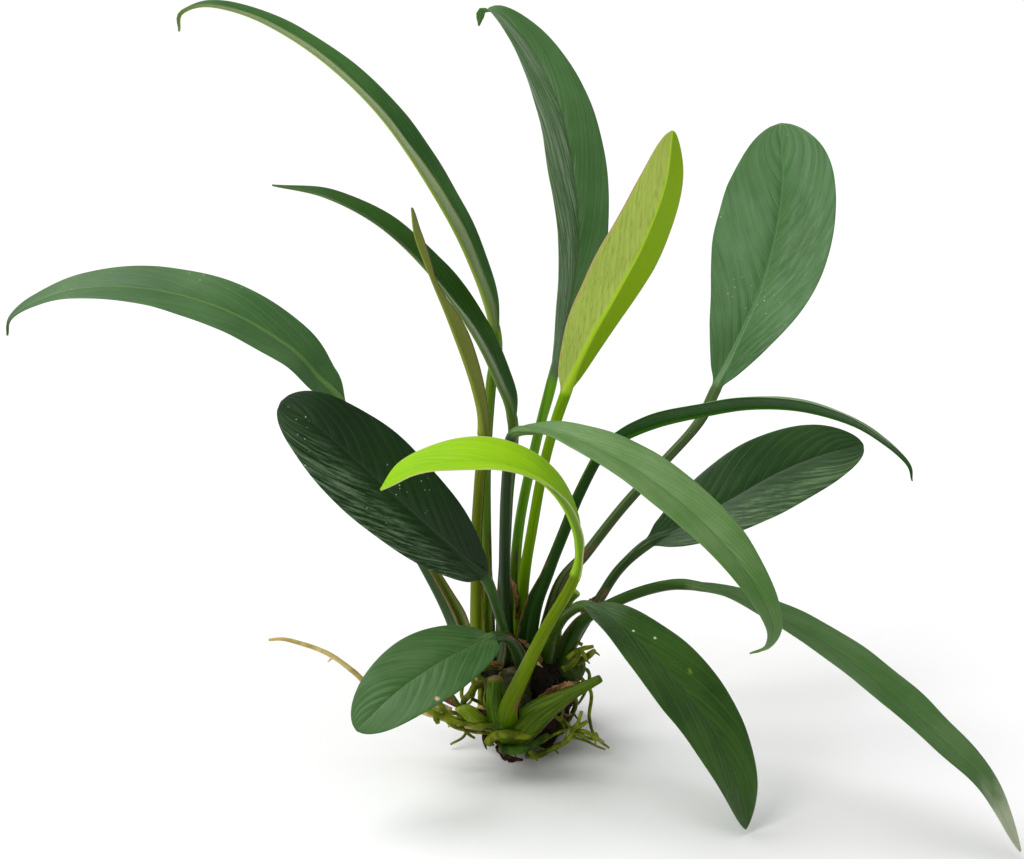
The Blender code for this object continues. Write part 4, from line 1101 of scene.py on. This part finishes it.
def rag_material(name, pale, dark):
    """Dry papery skin."""
    g = Graph(name, 0.8, 0.1)
    where = g.place()
    colour = g.mix(g.step(g.cloud(where, 420.0, 5.0, 0.65), 0.35, 0.65), dark, pale)
    colour = g.mix(g.step(g.cloud(where, 1500.0, 3.0), 0.55, 0.7), colour, tuple(c * 0.4 for c in dark))
    g.bump(g.cloud(where, 1400.0, 4.0), 0.5, 0.0003)
    return g.finish(colour)


def add_rags():
    """Papery rags and dark chips about the crown."""
    for name, (tint, strips) in RAGS.items():
        thick = 0.5 if name == "chips_dark" else 0.14
        parts = [rag_part(points, widths, lean, 3.3 * k + len(name), thick)
                 for k, (points, widths, lean) in enumerate(strips)]
        verts, faces, (marks,) = gather(parts)
        piece = add_piece(name, verts, faces, rag_material(name + "_skin", *tint), {"share": marks})


# ---- light, floor and camera ----

def add_floor(scene):
    """A wide pale floor just under the stone's foot, in metres."""
    mesh = bpy.data.meshes.new("floor")
    reach, low = 9.0, -0.0004
    corners = [(-reach, -reach, low), (reach, -reach, low), (reach, reach, low), (-reach, reach, low)]
    mesh.from_pydata(corners, [], [(0, 1, 2, 3)])
    floor = bpy.data.objects.new("floor", mesh)
    scene.collection.objects.link(floor)
    paint = Graph("floor_paint", 0.9, 0.2)
    mesh.materials.append(paint.finish((0.86, 0.86, 0.86)))


def add_lights(scene):
    """A pale sky, a broad soft sun, and a square panel at the front left."""
    world = bpy.data.worlds.new("studio")
    world.use_nodes = True
    background = world.node_tree.nodes["Background"]
    background.inputs["Color"].default_value = (1.0, 1.0, 1.0, 1.0)
    background.inputs["Strength"].default_value = SKY_STRENGTH
    scene.world = world
    scene.view_settings.view_transform = 'Standard'

    sun = bpy.data.lights.new("sky_panel", 'SUN')
    sun.energy = SUN_STRENGTH
    sun.angle = SUN_SPREAD
    lamp = bpy.data.objects.new("sky_panel", sun)
    lamp.rotation_euler = SUN_FROM.to_track_quat('Z', 'Y').to_euler()
    scene.collection.objects.link(lamp)

    panel = bpy.data.lights.new("front_left", 'AREA')
    panel.shape = 'RECTANGLE'
    panel.size = panel.size_y = 0.8
    panel.energy = 9.0
    lamp = bpy.data.objects.new("front_left", panel)
    lamp.location = (-0.9, -1.1, 0.9)
    aim = Vector((0, 0, 0.08)) - Vector(lamp.location)
    lamp.rotation_euler = aim.to_track_quat('-Z', 'Y').to_euler()
    scene.collection.objects.link(lamp)


def add_camera(scene):
    """The camera, looking at the plant from the front and a little above."""
    data = bpy.data.cameras.new("camera")
    data.sensor_width = 36.0
    data.lens = CAMERA_LENS
    data.clip_start = 0.01
    data.clip_end = 50.0
    camera = bpy.data.objects.new("camera", data)
    back = Vector((0, -math.cos(CAMERA_HEIGHT), math.sin(CAMERA_HEIGHT)))
    camera.location = CAMERA_TARGET + CAMERA_DISTANCE * back
    camera.rotation_euler = (math.radians(90) - CAMERA_HEIGHT, 0, 0)
    scene.collection.objects.link(camera)
    scene.camera = camera


add_leaves()
add_stone()
add_rhizome()
add_stubs()
add_roots()
add_rootlets()
add_rags()
add_floor(bpy.context.scene)
add_lights(bpy.context.scene)
add_camera(bpy.context.scene)
